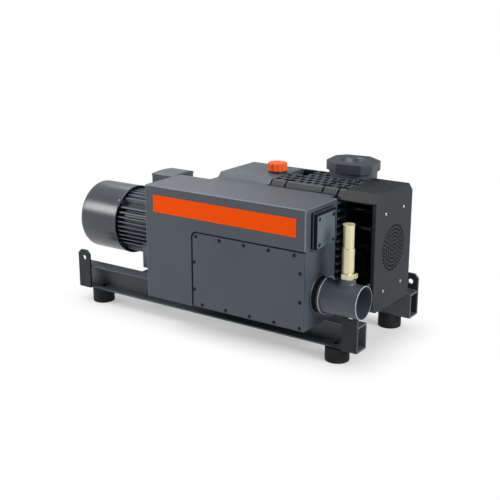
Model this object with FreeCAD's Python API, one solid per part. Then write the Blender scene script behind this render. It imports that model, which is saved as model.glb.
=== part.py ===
import FreeCAD, Part
import math
import os

# Claw compressor: two intermeshing claw rotors in a ribbed cylinder, a gear case and a fan hood on one
# centre line, a flange motor at the left, a discharge silencer in front and a base frame of two channels.
# Millimetres. +X points from the motor to the fan hood, +Y to the rear, +Z up.
# The origin lies on the floor, midway between the four rubber feet.

V = FreeCAD.Vector

# Fits
seat_gap = 0.05          # radial gap of a pressed or keyed round seat
run_gap = 0.05           # radial running clearance of a shaft in its bearing
pass_gap = 1.0           # radial gap where a shaft passes a wall without touching it
free_gap = 0.4           # gap between faces that move past each other

# Rubber feet
foot_height = 80.0
foot_radius = 65.0
foot_groove_depth = 5.0
foot_groove_width = 7.0
foot_groove_count = 3
foot_stud_radius = 8.0
foot_stud_depth = 28.0
foot_bolt_head_radius = 14.5
foot_bolt_head_height = 11.0
foot_spacing_x = 1627.0

# Base frame
beam_length = 1912.0
beam_height = 140.0
beam_depth = 86.0
beam_wall = 9.0
beam_gap = 514.0         # between the backs of the two channels
lug_width = 90.0
lug_thickness = 14.0
lug_rise = 94.0          # how far a lug stands above its channel
lug_corner = 22.0
lug_hole_radius = 15.0
lug_hole_drop = 48.0     # from the lug's top edge to its hole
cross_width = 100.0
cross_height = 90.0
cross_wall = 6.0
pad_height = 28.0        # machine pads between cross members and casing
pad_size = 70.0

# Casing outline, shared by gear case, cylinder, side plates and fan hood
casing_width = 410.0
casing_height = 622.0
casing_middle_y = -8.0
casing_top_chamfer = 43.0
casing_bottom_chamfer = 30.0

# Lengths along the machine's axis, from the gear case's left face to the hood's end
gear_case_left = -17.0
gear_case_length = 335.0
gear_case_wall = 12.0
side_plate_gear_length = 96.0
cylinder_length = 226.0
side_plate_fan_length = 89.0
bearing_cover_length = 39.0
hood_length = 197.0
hood_sheet = 4.0

# Ribs of the cylinder block
rib_depth = 38.0
rib_width = 12.0
rib_pitch_side = 40.0
rib_pitch_top = 52.0
cross_rib_width = 8.0
cross_rib_pitch = 45.0
front_rib_reach = 30.0   # how far the front ribs stand out past the casing outline
segment_gap = 10.0       # dark slot between the ribs of two neighbouring castings

# Shafts, rotors and timing gears
shaft_slant = 24.0       # degrees from vertical of the line that joins the two shafts
drive_axis_y = -42.0
drive_axis_z = 462.0
gear_module = 6.0
gear_teeth = 30
gear_width = 45.0
gear_root_depth = 7.5    # from the pitch circle to the roots of the teeth
gear_pressure_angle = 20.0
gear_backlash = 0.5
gear_from_plate = 34.0   # from the gear side plate to the gears
claw_radius = 116.0
claw_count = 2
claw_flank_angle = 0.7   # degrees by which a flank clears the path of the other claw's tip
claw_flank_steps = 9
claw_arc_steps = 8
shaft_input_radius = 24.0
shaft_seat_radius = 30.0
shaft_core_radius = 38.0
shaft_fan_radius = 20.0
bearing_width = 34.0
bearing_thickness = 24.0
seal_width = 10.0
seal_thickness = 12.0

# Cooling fans in the hood
cooling_fan_radius = 104.0
cooling_fan_width = 50.0
cooling_fan_blades = 8
cooling_fan_hub_radius = 38.0
cooling_fan_gap = 22.0   # from the bearing cover to the drive fan, and between the two fans
fan_blade_thickness = 6.0
fan_back_thickness = 4.0
fan_tip_margin = 6.0     # from a blade's end to the rim of its back disc

# Hood face
hood_bolt_half_pitch = 101.0
hood_bolt_drop = 112.5
hood_bolt_rise = 101.5
hood_bolt_radius = 9.0
hood_bolt_head = 6.0
hood_bolt_shank = 4.5
spacer_radius = 8.0
vent_ring_pitch = 19.5
vent_ring_count = 6
vent_hole_radius = 6.5
vent_holes_first_ring = 6

# Motor
motor_gap = 243.0        # length of the bell housing between motor flange and gear case
motor_body_length = 445.0
motor_wall = 15.0
motor_body_radius = 165.0
motor_fin_radius = 192.0
motor_fin_width = 6.0
motor_fin_pitch = 27.0
motor_flange_radius = 200.0
motor_flange_thickness = 20.0
motor_collar_length = 20.0
motor_shaft_radius = 27.5
motor_core_radius = 97.0
motor_air_gap = 0.8
stator_length = 230.0
motor_bearing_width = 29.0
motor_bearing_thickness = 30.0
cowl_length = 291.0
cowl_radius = 207.0
cowl_sheet = 3.0
cowl_edge = 24.0
cowl_ring_count = 6
cowl_arm_width = 30.0
cowl_arm_count = 4
cowl_arm_turn = 45.0     # degrees of the first arm from upright
motor_fan_radius = 165.0
motor_fan_width = 70.0
motor_fan_blades = 7
motor_foot_length = 190.0
motor_foot_width = 60.0
motor_foot_spread = 150.0

# Terminal box
terminal_left = -543.0
terminal_length = 160.0
terminal_depth = 186.0
terminal_wall = 6.0
terminal_bottom_z = 630.0
terminal_rim_z = 777.0
terminal_lid_edge = 13.0
terminal_lid_crown = 19.0
terminal_overhang = 2.0
gland_nut_radius = 16.0
gland_nut_length = 10.0
gland_body_radius = 12.0
gland_bore_radius = 8.0
gland_length = 30.0
gland_spacing = 74.0

# Coupling and bell housing
coupling_radius = 62.0
coupling_hub_length = 62.0
coupling_jaw_length = 24.0
coupling_jaw_count = 4
coupling_jaw_share = 0.72          # of the pitch between two neighbouring jaws
coupling_jaw_gap = 1.0             # degrees left free between a jaw and the star's leg
coupling_offset = 20.0             # from the bell housing's middle to the star, towards the gear case
bell_radius = 168.0
bell_wall = 14.0
bell_window_length = 110.0
bell_window_height = 120.0

# Outlet port of the cylinder, which the silencer's neck covers
outlet_margin = 26.0

# Silencer
silencer_lead = 214.0     # how far the silencer starts before the gear case
silencer_length = 1000.0
silencer_front = -565.0
silencer_depth = 303.0
silencer_height = 624.0
silencer_wall = 6.0
silencer_edge = 7.0
front_recess = 10.0      # how far the access plate's seat stands back from the upper band
end_recess = 6.0         # how far the lower part stands back at the right end
recess_start = 306.0     # from the silencer's left end to the access plate's seat
recess_height = 416.0
neck_past_cylinder = 85.0
neck_rise = 420.0        # from the silencer's underside to the neck
neck_seam = 8.0          # open seam between the neck's top lip and the ribbed castings

# Access plate on the silencer's front
access_gap = 5.0
access_sill = 8.0
access_corner = 28.0
access_thickness = 6.0
gasket_thickness = 2.0
access_bolt_radius = 6.0
access_bolt_head = 4.5
access_bolt_margin = 21.0          # top row and right column from the plate's edge
access_bolt_near_margin = 11.0     # bottom row and left column from the plate's edge
access_top_row_first = 26.0        # from the plate's left edge
access_top_row_last = 57.0         # from its right edge
access_bottom_row_first = 62.0
access_bottom_row_last = 21.0
access_left_column_low = 90.0      # from the plate's lower edge
access_left_column_high = 163.0    # from its upper edge
access_right_column_low = 145.0
access_right_column_high = 108.0
access_bolts_per_row = 5
access_bolts_per_side = 2
access_opening_margin = 48.0

# Perforated wall inside the silencer
baffle_hole_radius = 24.0
baffle_pitch_y = 90.0
baffle_pitch_z = 110.0

# Stripe panel
stripe_margin_left = 57.0
stripe_margin_right = 52.0
stripe_drop = 49.0       # from the silencer's top to the stripe
stripe_height = 93.0
stripe_thickness = 1.5

# Small cover on the silencer's end
end_cover_setback = 65.0
end_cover_width = 169.0
end_cover_rise = 4.0     # above the recess
end_cover_height = 164.0
end_frame_margin = 14.0
end_frame_thickness = 14.0
end_gasket_thickness = 6.0
end_gasket_inset = 9.0
end_cover_thickness = 10.0
end_bolt_inset = 18.0
end_bolt_radius = 7.0
end_bolt_head = 5.0
end_opening_inset = 40.0

# Discharge pipe and relief valve
pipe_over_lug = 7.0      # clear height between the front lifting plate and the pipe
pipe_radius = 84.15
pipe_wall = 4.5
pipe_past_boss = 95.0    # from the boss to the pipe's open end
pipe_flange_radius = 97.0
pipe_flange_thickness = 8.0
pipe_collar_radius = 90.0
pipe_collar_length = 42.0
boss_from_collar = 109.0
boss_radius = 40.0
boss_height = 25.0       # above the pipe
boss_bore = 15.0
valve_hex_across = 62.0
valve_hex_height = 28.0
valve_groove_height = 4.0
valve_groove_depth = 3.0
valve_lower_radius = 30.5
valve_lower_height = 127.0
valve_upper_radius = 27.0
valve_upper_height = 120.0
valve_rim_height = 6.0
valve_rim_reach = 3.0
valve_chamber_radius = 21.0
valve_lug_reach = 41.0
valve_lug_width = 28.0
valve_top_wall = 10.0
poppet_thickness = 9.0
poppet_stem_radius = 5.0
poppet_stem_length = 70.0
poppet_seat_height = 33.0
valve_spring_radius = 14.0
valve_spring_turns = 7
spring_wire = 3.0

# Oil filler, sight glass and drain
filler_x = 249.0
filler_y = casing_middle_y
filler_ring_radius = 49.0
filler_ring_height = 12.0
filler_tube_radius = 36.0
filler_tube_bore = 30.0
filler_tube_height = 28.0
cap_radius = 53.5
cap_height = 42.0
cap_top_wall = 8.0
cap_flute_count = 12
cap_flute_radius = 5.0
sight_x = 150.0
sight_z = 350.0
sight_radius = 32.0
sight_glass_radius = 22.0
sight_rim_length = 7.0
sight_dish = 3.5         # how deep the glass lies in its rim
drain_z = 285.0
drain_radius = 14.0
drain_thread_radius = 7.0
plug_length = 14.0

# Inlet
inlet_x = 613.0
inlet_y = 186.0
inlet_top = 946.0
inlet_flange_thickness = 52.0
inlet_flange_width = 262.0
inlet_flange_length = 326.0
inlet_flange_cut = 98.0            # leg of its four cut corners
inlet_flange_turn = -37.0          # degrees from the machine's axis to the flange's long axis
inlet_bore_radius = 67.0
inlet_neck_radius = 131.0
inlet_neck_height = 109.0
inlet_chamber_radius = 104.0
inlet_duct_height = 327.0
inlet_duct_reach = 105.0           # from the inlet's middle to the duct's right wall
inlet_duct_wall = 12.0
inlet_port_height = 120.0
inlet_port_width = 150.0
disc_radius = 84.0
disc_thickness = 8.0
disc_stem_radius = 8.0
disc_stem_excess = 5.0   # how far the stem reaches below its guide
guide_rise = 30.0        # from the chamber's floor to the guide
guide_radius = 18.0
guide_height = 26.0
guide_arm_width = 14.0
inlet_spring_radius = 26.0
inlet_spring_turns = 4

# Places worked out from the sizes above
beam_bottom = foot_height
beam_top = beam_bottom + beam_height
web_y = beam_gap / 2
tip_y = web_y + beam_depth
foot_y = web_y + beam_depth / 2
foot_x = foot_spacing_x / 2
beam_end = beam_length / 2
lug_top = beam_top + lug_rise
cross_bottom = beam_top - cross_height

casing_front = casing_middle_y - casing_width / 2
casing_rear = casing_middle_y + casing_width / 2
casing_bottom = beam_top + pad_height
casing_top = casing_bottom + casing_height

plate_gear_left = gear_case_left + gear_case_length
cylinder_left = plate_gear_left + side_plate_gear_length
plate_fan_left = cylinder_left + cylinder_length
cover_left = plate_fan_left + side_plate_fan_length
hood_left = cover_left + bearing_cover_length
hood_right = hood_left + hood_length

centre_distance = gear_module * gear_teeth
slant = math.radians(shaft_slant)
driven_axis_y = drive_axis_y + centre_distance * math.sin(slant)
driven_axis_z = drive_axis_z + centre_distance * math.cos(slant)
drive_axis = (drive_axis_y, drive_axis_z)
driven_axis = (driven_axis_y, driven_axis_z)
bore_radius = claw_radius + free_gap
claw_root_radius = centre_distance - claw_radius - free_gap
gear_left = plate_gear_left - gear_from_plate - gear_width

core_front = casing_front + rib_depth
core_rear = casing_rear - rib_depth
core_top = casing_top - rib_depth

bell_right = gear_case_left
bell_left = bell_right - motor_gap
motor_right = bell_left - motor_flange_thickness - motor_collar_length
motor_left = motor_right - motor_body_length
motor_bore_radius = motor_body_radius - motor_wall
cowl_left = motor_left - cowl_length
coupling_middle = (bell_left + bell_right) / 2 + coupling_offset

silencer_left = gear_case_left - silencer_lead
silencer_right = silencer_left + silencer_length
silencer_back = silencer_front + silencer_depth
silencer_bottom = beam_top
silencer_top = silencer_bottom + silencer_height
lower_right = silencer_right - end_recess
recess_left = silencer_left + recess_start
recess_top = silencer_bottom + recess_height
recess_floor = silencer_front + front_recess
pipe_y = silencer_front + silencer_depth / 2
access_back = recess_floor - gasket_thickness
access_front = access_back - access_thickness
access_left = recess_left + access_gap
access_right = lower_right
access_bottom = silencer_bottom + access_sill
access_top = recess_top - access_gap
neck_left = gear_case_left
neck_right = plate_fan_left + neck_past_cylinder
neck_bottom = silencer_bottom + neck_rise

outlet_left = cylinder_left + segment_gap / 2
outlet_right = plate_fan_left - segment_gap / 2
outlet_top = casing_top - casing_top_chamfer - neck_seam

stripe_top = silencer_top - stripe_drop
end_cover_front = silencer_front + end_cover_setback
end_cover_back = end_cover_front + end_cover_width
end_cover_bottom = recess_top + end_cover_rise
end_cover_top = end_cover_bottom + end_cover_height
end_frame_face = silencer_right + end_frame_thickness
end_gasket_face = end_frame_face + end_gasket_thickness
end_cover_face = end_gasket_face + end_cover_thickness

collar_end = lower_right + pipe_flange_thickness + pipe_collar_length
boss_x = collar_end + boss_from_collar
pipe_end = boss_x + pipe_past_boss
lug_face_y = -tip_y - lug_thickness
pipe_sag = math.sqrt(max(pipe_radius ** 2 - (lug_face_y - pipe_y) ** 2, 0.0))
pipe_z = lug_top + pipe_over_lug + pipe_sag
boss_top = pipe_z + pipe_radius + boss_height
valve_hex_top = boss_top + valve_hex_height
valve_step = valve_hex_top + valve_lower_height
valve_top = valve_step + valve_upper_height
poppet_seat = boss_top + poppet_seat_height

filler_top = casing_top + filler_ring_height
inlet_flange_bottom = inlet_top - inlet_flange_thickness
disc_top = inlet_flange_bottom - free_gap
disc_bottom = disc_top - disc_thickness
inlet_neck_bottom = inlet_flange_bottom - inlet_neck_height
chamber_floor = inlet_neck_bottom + inlet_duct_wall
inlet_duct_bottom = chamber_floor - inlet_duct_height
guide_bottom = chamber_floor + guide_rise
guide_top = guide_bottom + guide_height
disc_stem_bottom = guide_bottom - disc_stem_excess

os.makedirs("parts", exist_ok=True)


def block(x0, x1, y0, y1, z0, z1):
    """A box between two corners."""
    return Part.makeBox(x1 - x0, y1 - y0, z1 - z0, V(x0, y0, z0))


def rod_x(x0, x1, axis, radius):
    """A round bar along X about an axis given as (y, z)."""
    return Part.makeCylinder(radius, x1 - x0, V(x0, axis[0], axis[1]), V(1, 0, 0))


def rod_y(y0, y1, x, z, radius):
    """A round bar along Y."""
    return Part.makeCylinder(radius, y1 - y0, V(x, y0, z), V(0, 1, 0))


def rod_z(z0, z1, x, y, radius):
    """A round bar along Z."""
    return Part.makeCylinder(radius, z1 - z0, V(x, y, z0), V(0, 0, 1))


def ring_x(x0, x1, axis, outer, inner):
    """A ring about X."""
    return rod_x(x0, x1, axis, outer).cut(rod_x(x0, x1, axis, inner))


def ring_z(z0, z1, x, y, outer, inner):
    """A ring about Z."""
    return rod_z(z0, z1, x, y, outer).cut(rod_z(z0, z1, x, y, inner))


def prism(points, direction):
    """A closed outline of points, swept along a vector."""
    wire = Part.makePolygon(points + [points[0]])
    return Part.Face(wire).extrude(direction)


def prism_x(outline, x0, x1):
    """An outline of (y, z) points, swept from x0 to x1."""
    return prism([V(x0, y, z) for y, z in outline], V(x1 - x0, 0, 0))


def prism_y(outline, y0, y1):
    """An outline of (x, z) points, swept from y0 to y1."""
    return prism([V(x, y0, z) for x, z in outline], V(0, y1 - y0, 0))


def prism_z(outline, z0, z1):
    """An outline of (x, y) points, swept from z0 to z1."""
    return prism([V(x, y, z0) for x, y in outline], V(0, 0, z1 - z0))


def joined(shapes):
    """Several solids fused into one, with flush faces merged."""
    return shapes[0].multiFuse(shapes[1:]).removeSplitter()


def cut_all(shape, tools):
    """A solid with several tools cut from it."""
    return shape.cut(Part.makeCompound(tools)) if tools else shape


def turned_x(shape, axis, degrees):
    """A copy turned about an X axis given as (y, z)."""
    copy = shape.copy()
    copy.rotate(V(0, axis[0], axis[1]), V(1, 0, 0), degrees)
    return copy


def solids_of(shape):
    """The separate solids of a shape."""
    return shape.Solids


def save(node, shape):
    """Writes one node; a list becomes a group of separate solids."""
    if isinstance(shape, list):
        shape = Part.makeCompound([solid for item in shape for solid in solids_of(item)])
    shape.exportStep("parts/" + node + ".step")
    print(node, len(shape.Solids), "solids", round(shape.Volume / 1000.0), "cm3")


def steps(first, last, pitch):
    """Evenly pitched places, centred between first and last."""
    count = int((last - first) / pitch)
    start = (first + last - count * pitch) / 2
    return [start + i * pitch for i in range(count + 1)]


def casing_outline(inset=0.0):
    """The chamfered casing section as (y, z) points, drawn in by an inset."""
    shrink = inset * (2 - math.sqrt(2))
    top = max(casing_top_chamfer - shrink, 1.0)
    bottom = max(casing_bottom_chamfer - shrink, 1.0)
    y0 = casing_front + inset
    y1 = casing_rear - inset
    z0 = casing_bottom + inset
    z1 = casing_top - inset
    return [
        (y0 + bottom, z0), (y1 - bottom, z0), (y1, z0 + bottom), (y1, z1 - top),
        (y1 - top, z1), (y0 + top, z1), (y0, z1 - top), (y0, z0 + bottom),
    ]


def polygon(centre_a, centre_b, radius, corner_count, first_degrees):
    """The corners of a regular polygon about a centre."""
    corners = []
    for i in range(corner_count):
        angle = math.radians(first_degrees + 360.0 * i / corner_count)
        corners.append((centre_a + radius * math.cos(angle), centre_b + radius * math.sin(angle)))
    return corners


def cut_rectangle(length, width, cut):
    """A rectangle about its middle with four cut corners."""
    a = length / 2
    b = width / 2
    return [
        (a, b - cut), (a - cut, b), (cut - a, b), (-a, b - cut),
        (-a, cut - b), (cut - a, -b), (a - cut, -b), (a, cut - b),
    ]


def hexagon(centre_a, centre_b, radius, first_degrees):
    """Six corners about a centre, as of a bolt head or a nut."""
    return polygon(centre_a, centre_b, radius, 6, first_degrees)


# Base frame

def channel_beam(side):
    """A channel that opens outwards; side is -1 in front and +1 at the rear."""
    back = side * web_y
    tip = side * tip_y
    low = min(back, tip)
    high = max(back, tip)
    beam = block(-beam_end, beam_end, low, high, beam_bottom, beam_top)
    inner_back = back + side * beam_wall
    hollow = block(
        -beam_end, beam_end, min(inner_back, tip), max(inner_back, tip),
        beam_bottom + beam_wall, beam_top - beam_wall,
    )
    bolt_holes = [
        rod_z(beam_bottom, beam_top, x, side * foot_y, foot_stud_radius + pass_gap)
        for x in (-foot_x, foot_x)
    ]
    holes = [hole.common(block(-beam_end, beam_end, low, high, beam_bottom, beam_bottom + beam_wall))
             for hole in bolt_holes]
    return cut_all(beam.cut(hollow), holes)


def lifting_lug(side_x, side_y):
    """A plate that closes a channel's end and carries a lifting hole."""
    outer_x = side_x * beam_end
    inner_x = outer_x - side_x * lug_width
    x0 = min(outer_x, inner_x)
    x1 = max(outer_x, inner_x)
    outline = [
        (x0, beam_bottom), (x1, beam_bottom), (x1, lug_top - lug_corner),
        (x1 - lug_corner, lug_top), (x0 + lug_corner, lug_top), (x0, lug_top - lug_corner),
    ]
    y0 = tip_y if side_y > 0 else -tip_y - lug_thickness
    plate = prism_y(outline, y0, y0 + lug_thickness)
    hole = rod_y(y0, y0 + lug_thickness, (x0 + x1) / 2, lug_top - lug_hole_drop, lug_hole_radius)
    return plate.cut(hole)


def rubber_foot(x, y):
    """A round rubber buffer with running grooves and a blind fixing hole from below."""
    foot = rod_z(0, foot_height, x, y, foot_radius)
    tools = []
    pitch = foot_height / (foot_groove_count + 1)
    for i in range(foot_groove_count):
        z = pitch * (i + 1) - foot_groove_width / 2
        tools.append(ring_z(z, z + foot_groove_width, x, y, foot_radius + 1, foot_radius - foot_groove_depth))
    tools.append(rod_z(0, foot_stud_depth, x, y, foot_stud_radius))
    return cut_all(foot, tools)


def foot_bolt(x, y):
    """A hexagon bolt whose shank passes the channel's lower flange into the foot."""
    z0 = beam_bottom + beam_wall
    head = prism_z(hexagon(x, y, foot_bolt_head_radius, 0), z0, z0 + foot_bolt_head_height)
    shank = rod_z(beam_bottom, z0, x, y, foot_stud_radius)
    return joined([head, shank])


def cross_member(x):
    """A rectangular tube welded between the two channels."""
    x0 = x - cross_width / 2
    x1 = x + cross_width / 2
    outer = block(x0, x1, -web_y, web_y, cross_bottom, beam_top)
    inner = block(
        x0 + cross_wall, x1 - cross_wall, -web_y, web_y,
        cross_bottom + cross_wall, beam_top - cross_wall,
    )
    return outer.cut(inner)


motor_foot_x = motor_right - motor_foot_length
casing_support_left = (gear_case_left + plate_gear_left) / 2
casing_support_right = plate_fan_left + side_plate_fan_length / 2
cross_places = [motor_foot_x, casing_support_left, casing_support_right]


def machine_pads(x):
    """The two welded pads that carry the casing on a cross member; the motor's member has none."""
    if x == motor_foot_x:
        return []
    half = pad_size / 2
    reach = casing_width / 2 - casing_bottom_chamfer - half
    return [block(x - half, x + half, y - half, y + half, beam_top, casing_bottom)
            for y in (casing_middle_y - reach, casing_middle_y + reach)]


def base_frame():
    save("front_beam", channel_beam(-1))
    save("rear_beam", channel_beam(1))
    save("lifting_lugs", [lifting_lug(sx, sy) for sx in (-1, 1) for sy in (-1, 1)])
    corners = [(sx * foot_x, sy * foot_y) for sx in (-1, 1) for sy in (-1, 1)]
    save("rubber_feet", [rubber_foot(x, y) for x, y in corners])
    save("foot_bolts", [foot_bolt(x, y) for x, y in corners])
    save("cross_members", [joined(cross_member(x).Solids + machine_pads(x)) for x in cross_places])


# Gear case

def gear_case():
    """The oil-holding box of the timing gears, closed at the left, open to the side plate."""
    left = gear_case_left
    right = plate_gear_left
    shell = prism_x(casing_outline(), left, right)
    hollow = prism_x(casing_outline(gear_case_wall), left + gear_case_wall, right - gear_case_wall)
    opening = prism_x(casing_outline(rib_depth + gear_case_wall), right - gear_case_wall, right)
    input_boss = rod_x(left + gear_case_wall, left + gear_case_wall + seal_width, drive_axis,
                       shaft_input_radius + seal_thickness + gear_case_wall)
    seal_seat = rod_x(left, left + gear_case_wall + seal_width, drive_axis, shaft_input_radius + seal_thickness)
    filler_hole = rod_z(casing_top - gear_case_wall, casing_top, filler_x, filler_y, filler_tube_radius)
    sight_hole = rod_y(casing_rear - gear_case_wall, casing_rear, sight_x, sight_z, sight_glass_radius)
    drain_hole = rod_y(casing_rear - gear_case_wall, casing_rear, sight_x, drain_z, drain_thread_radius)
    shell = joined([shell.cut(hollow).cut(opening), input_boss])
    return cut_all(shell, [seal_seat, filler_hole, sight_hole, drain_hole])


def oil_filler_neck():
    """A black ring on the case's top with a tube that the cap closes."""
    ring = rod_z(casing_top, filler_top, filler_x, filler_y, filler_ring_radius)
    tube = rod_z(casing_top - gear_case_wall, filler_top + filler_tube_height, filler_x, filler_y,
                 filler_tube_radius - seat_gap)
    bore = rod_z(casing_top - gear_case_wall, filler_top + filler_tube_height, filler_x, filler_y, filler_tube_bore)
    return joined([ring, tube]).cut(bore)


def oil_cap():
    """The filler cap: a cup with flutes for the fingers."""
    z0 = filler_top + free_gap
    z1 = z0 + cap_height
    cup = rod_z(z0, z1, filler_x, filler_y, cap_radius)
    edge = [e for e in cup.Edges if abs(e.BoundBox.ZMin - z1) < 0.01 and abs(e.BoundBox.ZMax - z1) < 0.01]
    cup = cup.makeChamfer(cap_top_wall / 2, edge)
    tools = [rod_z(z0, z1 - cap_top_wall, filler_x, filler_y, filler_tube_radius + free_gap)]
    for i in range(cap_flute_count):
        angle = 2 * math.pi * i / cap_flute_count
        x = filler_x + cap_radius * math.cos(angle)
        y = filler_y + cap_radius * math.sin(angle)
        tools.append(prism_z(hexagon(x, y, cap_flute_radius, math.degrees(angle)), z0, z1 - cap_top_wall / 2))
    return cut_all(cup, tools)


def sight_glass():
    """A round oil level glass in the rear wall."""
    rim = rod_y(casing_rear, casing_rear + sight_rim_length, sight_x, sight_z, sight_radius)
    glass = rod_y(casing_rear - gear_case_wall / 2, casing_rear, sight_x, sight_z, sight_glass_radius - seat_gap)
    hollow = rod_y(casing_rear + sight_rim_length - sight_dish, casing_rear + sight_rim_length, sight_x, sight_z,
                   sight_glass_radius)
    return joined([rim, glass]).cut(hollow)


def drain_plug():
    """A hexagon plug at the case's lowest point of the rear wall."""
    head = prism_y(hexagon(sight_x, drain_z, drain_radius, 0), casing_rear, casing_rear + plug_length)
    thread = rod_y(casing_rear - gear_case_wall, casing_rear, sight_x, drain_z, drain_thread_radius - seat_gap)
    return joined([head, thread])


# Cylinder block

def side_ribs(x0, x1, front_limit):
    """Horizontal ribs on the block's front and rear, up to a height on the front."""
    ribs = []
    for z in steps(casing_bottom + casing_bottom_chamfer + rib_width, casing_top - casing_top_chamfer - rib_width,
                   rib_pitch_side):
        front = casing_front - front_rib_reach
        if z + rib_width / 2 < front_limit:
            ribs.append(block(x0, x1, front, core_front, z - rib_width / 2, z + rib_width / 2))
        ribs.append(block(x0, x1, core_rear, casing_rear, z - rib_width / 2, z + rib_width / 2))
    return ribs


def top_grid(x0, x1, bare_from=None):
    """The ribs on the block's top: long level ribs, with cross ribs that are staggered from row to row."""
    rim = prism_x(casing_outline(), x0, x1).cut(prism_x(casing_outline(rib_depth), x0, x1))
    slab = rim.common(block(x0, x1, casing_front, casing_rear, casing_top - casing_top_chamfer - rib_width / 2,
                            casing_top))
    low_y = casing_front + casing_top_chamfer + rib_width
    high_y = casing_rear - casing_top_chamfer - rib_width
    pockets = []
    columns = max(1, round((x1 - x0) / cross_rib_pitch))
    column_pitch = (x1 - x0 + cross_rib_width) / columns
    rows = max(1, round((high_y - low_y) / rib_pitch_top))
    row_pitch = (high_y - low_y + rib_width) / rows
    for row in range(rows):
        y0 = low_y + row * row_pitch
        if bare_from is not None and y0 > bare_from:
            continue
        shift = column_pitch / 2 if row % 2 else 0.0
        for column in range(-1, columns + 1):
            start = x0 + column * column_pitch + shift
            left = max(start, x0)
            right = min(start + column_pitch - cross_rib_width, x1)
            if right - left > rib_width:
                pockets.append(block(left, right, y0, y0 + row_pitch - rib_width, core_top, casing_top))
    if bare_from is not None:
        first = low_y + math.ceil((bare_from - low_y) / row_pitch) * row_pitch
        pockets.append(block(x0, x1, first, high_y, core_top, casing_top))
    return cut_all(slab, pockets)


def ribbed_block(x0, x1, front_limit, start_gap, end_gap, bare_from=None):
    """One casting of the block: a plain core with ribs all round, set back from its neighbours."""
    core = prism_x(casing_outline(rib_depth), x0, x1)
    rib_left = x0 + start_gap
    rib_right = x1 - end_gap
    sole = block(x0, x1, casing_middle_y - casing_width / 4, casing_middle_y + casing_width / 4, casing_bottom,
                 casing_bottom + rib_depth)
    shapes = [core, sole, top_grid(rib_left, rib_right, bare_from)]
    shapes += side_ribs(rib_left, rib_right, front_limit)
    return joined(shapes)


def inlet_pocket():
    """The space that the inlet neck takes out of the block's rear top edge."""
    return rod_z(inlet_neck_bottom, casing_top, inlet_x, inlet_y, inlet_neck_radius + free_gap)


def bearing_seat(x0, x1, axis):
    """A through hole for one shaft with a bearing pocket in its middle."""
    middle = (x0 + x1) / 2
    hole = rod_x(x0, x1, axis, shaft_seat_radius + pass_gap)
    pocket = rod_x(middle - bearing_width / 2, middle + bearing_width / 2, axis, shaft_seat_radius + bearing_thickness)
    return hole.fuse(pocket)


def side_plate_gear():
    """The side plate between gear case and cylinder, with two bearing seats."""
    plate = ribbed_block(plate_gear_left, cylinder_left, neck_bottom, segment_gap, segment_gap / 2,
                         drive_axis_y + rib_depth)
    tools = [bearing_seat(plate_gear_left, cylinder_left, axis) for axis in (drive_axis, driven_axis)]
    return cut_all(plate, tools + [inlet_pocket()])


def cylinder():
    """The ribbed cylinder with two crossing bores, an inlet port at the rear and an outlet port in front."""
    body = ribbed_block(cylinder_left, plate_fan_left, neck_bottom, segment_gap / 2, segment_gap / 2)
    boss = block(outlet_left, outlet_right, casing_front, core_front, neck_bottom, outlet_top)
    body = body.fuse(boss)
    tools = [rod_x(cylinder_left, plate_fan_left, axis, bore_radius) for axis in (drive_axis, driven_axis)]
    middle = (cylinder_left + plate_fan_left) / 2
    half = inlet_port_width / 2
    inlet_low = inlet_duct_bottom + inlet_duct_wall
    tools.append(block(middle - half, middle + half, driven_axis_y, casing_rear, inlet_low,
                       inlet_low + inlet_port_height))
    tools.append(block(outlet_left + outlet_margin, outlet_right - outlet_margin, casing_front, driven_axis_y,
                       neck_bottom + outlet_margin, outlet_top - outlet_margin))
    return cut_all(body, tools + [inlet_pocket()])


def side_plate_fan():
    """The side plate on the fan side."""
    plate = ribbed_block(plate_fan_left, cover_left, neck_bottom, segment_gap / 2, segment_gap / 2)
    tools = [bearing_seat(plate_fan_left, cover_left, axis) for axis in (drive_axis, driven_axis)]
    return cut_all(plate, tools + [inlet_pocket()])


def bearing_cover():
    """The last ribbed plate, which covers the fan side bearings."""
    plate = ribbed_block(cover_left, hood_left, casing_top, segment_gap / 2, 0.0)
    tools = [rod_x(cover_left, hood_left, axis, shaft_seat_radius + pass_gap) for axis in (drive_axis, driven_axis)]
    return cut_all(plate, tools + [inlet_pocket()])


# Shafts and rotors

def stepped_shaft(axis, stations):
    """A turned shaft from (x0, x1, radius) steps."""
    return joined([rod_x(x0, x1, axis, radius) for x0, x1, radius in stations])


fan_one_left = hood_left + cooling_fan_gap
fan_one_right = fan_one_left + cooling_fan_width
fan_two_left = fan_one_right + cooling_fan_gap
fan_two_right = fan_two_left + cooling_fan_width


def drive_shaft():
    """The lower shaft, from the coupling through gear, side plates and rotor to its fan."""
    return stepped_shaft(drive_axis, [
        (coupling_middle, gear_left, shaft_input_radius),
        (gear_left, cylinder_left, shaft_seat_radius),
        (cylinder_left, plate_fan_left, shaft_core_radius),
        (plate_fan_left, cover_left, shaft_seat_radius),
        (cover_left, fan_one_right, shaft_fan_radius),
    ])


def driven_shaft():
    """The upper shaft, turned by the timing gears."""
    return stepped_shaft(driven_axis, [
        (gear_left, cylinder_left, shaft_seat_radius),
        (cylinder_left, plate_fan_left, shaft_core_radius),
        (plate_fan_left, cover_left, shaft_seat_radius),
        (cover_left, fan_two_right, shaft_fan_radius),
    ])


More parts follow.
